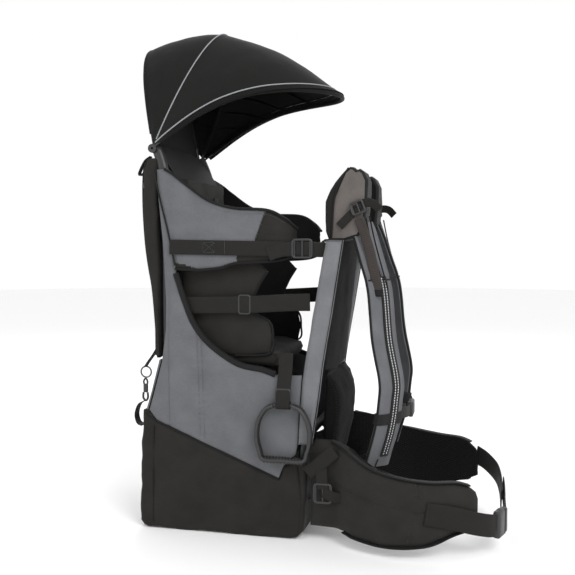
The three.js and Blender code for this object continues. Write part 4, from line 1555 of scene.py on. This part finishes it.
def hoop_points(hoop, turns):
    """The middle line of a canopy rod, from the right hinge at 0 to the left hinge at 1."""
    swing = math.pi * np.asarray(turns, float)
    power = 2 / hoop["squareness"]
    reach = hoop["reach"] * np.abs(np.sin(swing)) ** power
    across = -np.sign(np.cos(swing)) * hoop["span"] * np.abs(np.cos(swing)) ** power
    lift = hoop["brow"] * np.sin(math.pi * reach / hoop["reach"])
    x = HINGE[0] + reach * math.cos(hoop["tilt"]) - lift * math.sin(hoop["tilt"])
    z = HINGE[2] + reach * math.sin(hoop["tilt"]) + lift * math.cos(hoop["tilt"])
    return np.stack([x, across, z], -1)


def gore_points(rear, front, turns, shares, raised=0.0, seed=71, bulge=0.06):
    """Canopy cloth from one rod to the next: rows of turns, columns of shares from rear to front."""
    a = hoop_points(rear, turns)
    b = hoop_points(front, turns)
    chord = b - a
    length = np.linalg.norm(chord, axis=1, keepdims=True)
    chord = chord / np.maximum(length, 1e-6)
    out = (a + b) / 2 - HINGE
    out = unit(out - chord * (out * chord).sum(-1, keepdims=True))
    share = np.asarray(shares, float)[None, :, None]
    crown = bulge * length[:, None] * np.sin(math.pi * share)
    rows = a[:, None] + (b - a)[:, None] * share + out[:, None] * crown
    flat = rows.reshape(-1, 3)
    crease = noise(flat * np.array([1.0, 0.6, 1.0]), 38, seed) * 1.5 + noise(flat, 14, seed + 5) * 0.3
    crease = crease.reshape(rows.shape[:2])[..., None] * np.sin(math.pi * share) ** 0.7
    return rows + out[:, None] * (crease + raised)


def gore(name, rear, front, turns, seed):
    """One canopy panel as a thin closed sheet over the rods."""
    shares = np.linspace(0, 1, 19)
    outer = gore_points(rear, front, turns, shares, 3.0, seed)
    inner = gore_points(rear, front, turns, shares, 1.8, seed)
    rings = np.concatenate([outer, inner[:, ::-1]], axis=1)
    return loft(name, rings, [CANOPY_BLACK])


PANEL_ENDS = [0.012, 0.05, 0.095, 0.145, 0.2, 0.28, 0.72, 0.8, 0.855, 0.905, 0.95, 0.988]
GORES = (
    ("rear", REAR, MIDDLE, "root", "canopy_middle", 71),
    ("front", MIDDLE, FRONT, "canopy_middle", "canopy_front", 83)
)
for gore_name, rear, front, first, second, seed in GORES:
    whole = []
    for index, (low, high) in enumerate(zip(PANEL_ENDS[:-1], PANEL_ENDS[1:])):
        turns = np.linspace(low - 0.001, high + 0.001, max(10, int((high - low) * 130)))
        cloth = gore("canopy_" + gore_name + "_" + str(index + 1), rear, front, turns, seed)
        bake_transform(cloth)
        whole.append(cloth)
    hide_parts("canopy_" + gore_name + "_gore")

for node_name, hoop, body in (
    ("rear", REAR, "root"), ("middle", MIDDLE, "canopy_middle"), ("front", FRONT, "canopy_front")
):
    turns = np.linspace(0.02, 0.98, 140)
    path = hoop_points(hoop, turns)
    sleeve = [sweep("rod_sleeve", path, round_section(3.7, 10), UP + (0.3, 0.2, 0), CANOPY_BLACK)]
    away = unit(path - HINGE)
    if node_name == "middle":
        sleeve.append(
            sweep("rod_piping", path + away * 3.6, round_section(1.3, 8), UP + (0.3, 0.2, 0), PIPING)
        )
    attach(merged("canopy_" + node_name + "_sleeve", sleeve), body)

turns = np.linspace(0.012, 0.988, 160)
rim = hoop_points(FRONT, turns)
out_rim = gore_points(MIDDLE, FRONT, turns, [0.965], 3.6, 83)[:, 0]
across = unit(hoop_points(FRONT, turns) - hoop_points(MIDDLE, turns))
piping_line = out_rim - across * 9.5 + unit(rim - HINGE) * 0.8
bindings = [
    sweep("rim_binding", out_rim, band_section(17, 1.6), across, MESH),
    sweep("rim_piping", piping_line, round_section(1.4, 8), UP, PIPING),
]
attach(merged("canopy_rim", bindings), "canopy_front")

CURTAIN = [
    (-106, 672), (-112, 700), (-113, 740), (-111, 790), (-104, 832), (-86, 862), (-50, 880), (0, 884),
    (50, 880), (86, 862), (104, 832), (111, 790), (113, 740), (112, 700), (106, 672)
]


def curtain_plane(u, v):
    x = HINGE[0] - 1.5 + np.maximum(v - HINGE[2], 0) * math.cos(REAR["tilt"]) / math.sin(REAR["tilt"])
    x = x + flat_noise(u, v, 60, 44, 91) * 1.2
    place = np.stack([x, u, v], -1)
    return place, np.broadcast_to(unit(np.array([-1.0, 0.0, -0.17])), place.shape)


NECK = [(-120, 646), (-120, 694), (-60, 700), (60, 700), (120, 694), (120, 646), (112, 632), (-112, 632)]


def neck_plane(u, v):
    place = np.stack([-129 + (700 - v) * 0.62, u, v], -1)
    return place, np.broadcast_to(unit(np.array([-1.0, 0.0, -0.62])), place.shape)


neck = patch("canopy_neck", NECK, neck_plane, 1.6, (CANOPY_BLACK, CANOPY_BLACK), None, 8.0, roll=0.5)
attach(neck, "root")
for name, side in SIDES:
    post = [
        (-110, side * 124, 640), (-112, side * 124, 655), (-117, side * 122.5, 671),
        (-123, side * 121, 686), (-128, side * 119, 697)
    ]
    cover = sweep("post_cover_" + name, smooth(post, 30), band_section(20, 15), (1, 0, 0.2), ROD)
    attach(cover, "root", ("canopy_post_" + name,))

curtain = patch(
    "canopy_curtain_cloth", CURTAIN, curtain_plane, 1.4, (CANOPY_BLACK, CANOPY_BLACK), None, 8.0, roll=0.5
)
attach(curtain, "root", ("canopy_curtain",))
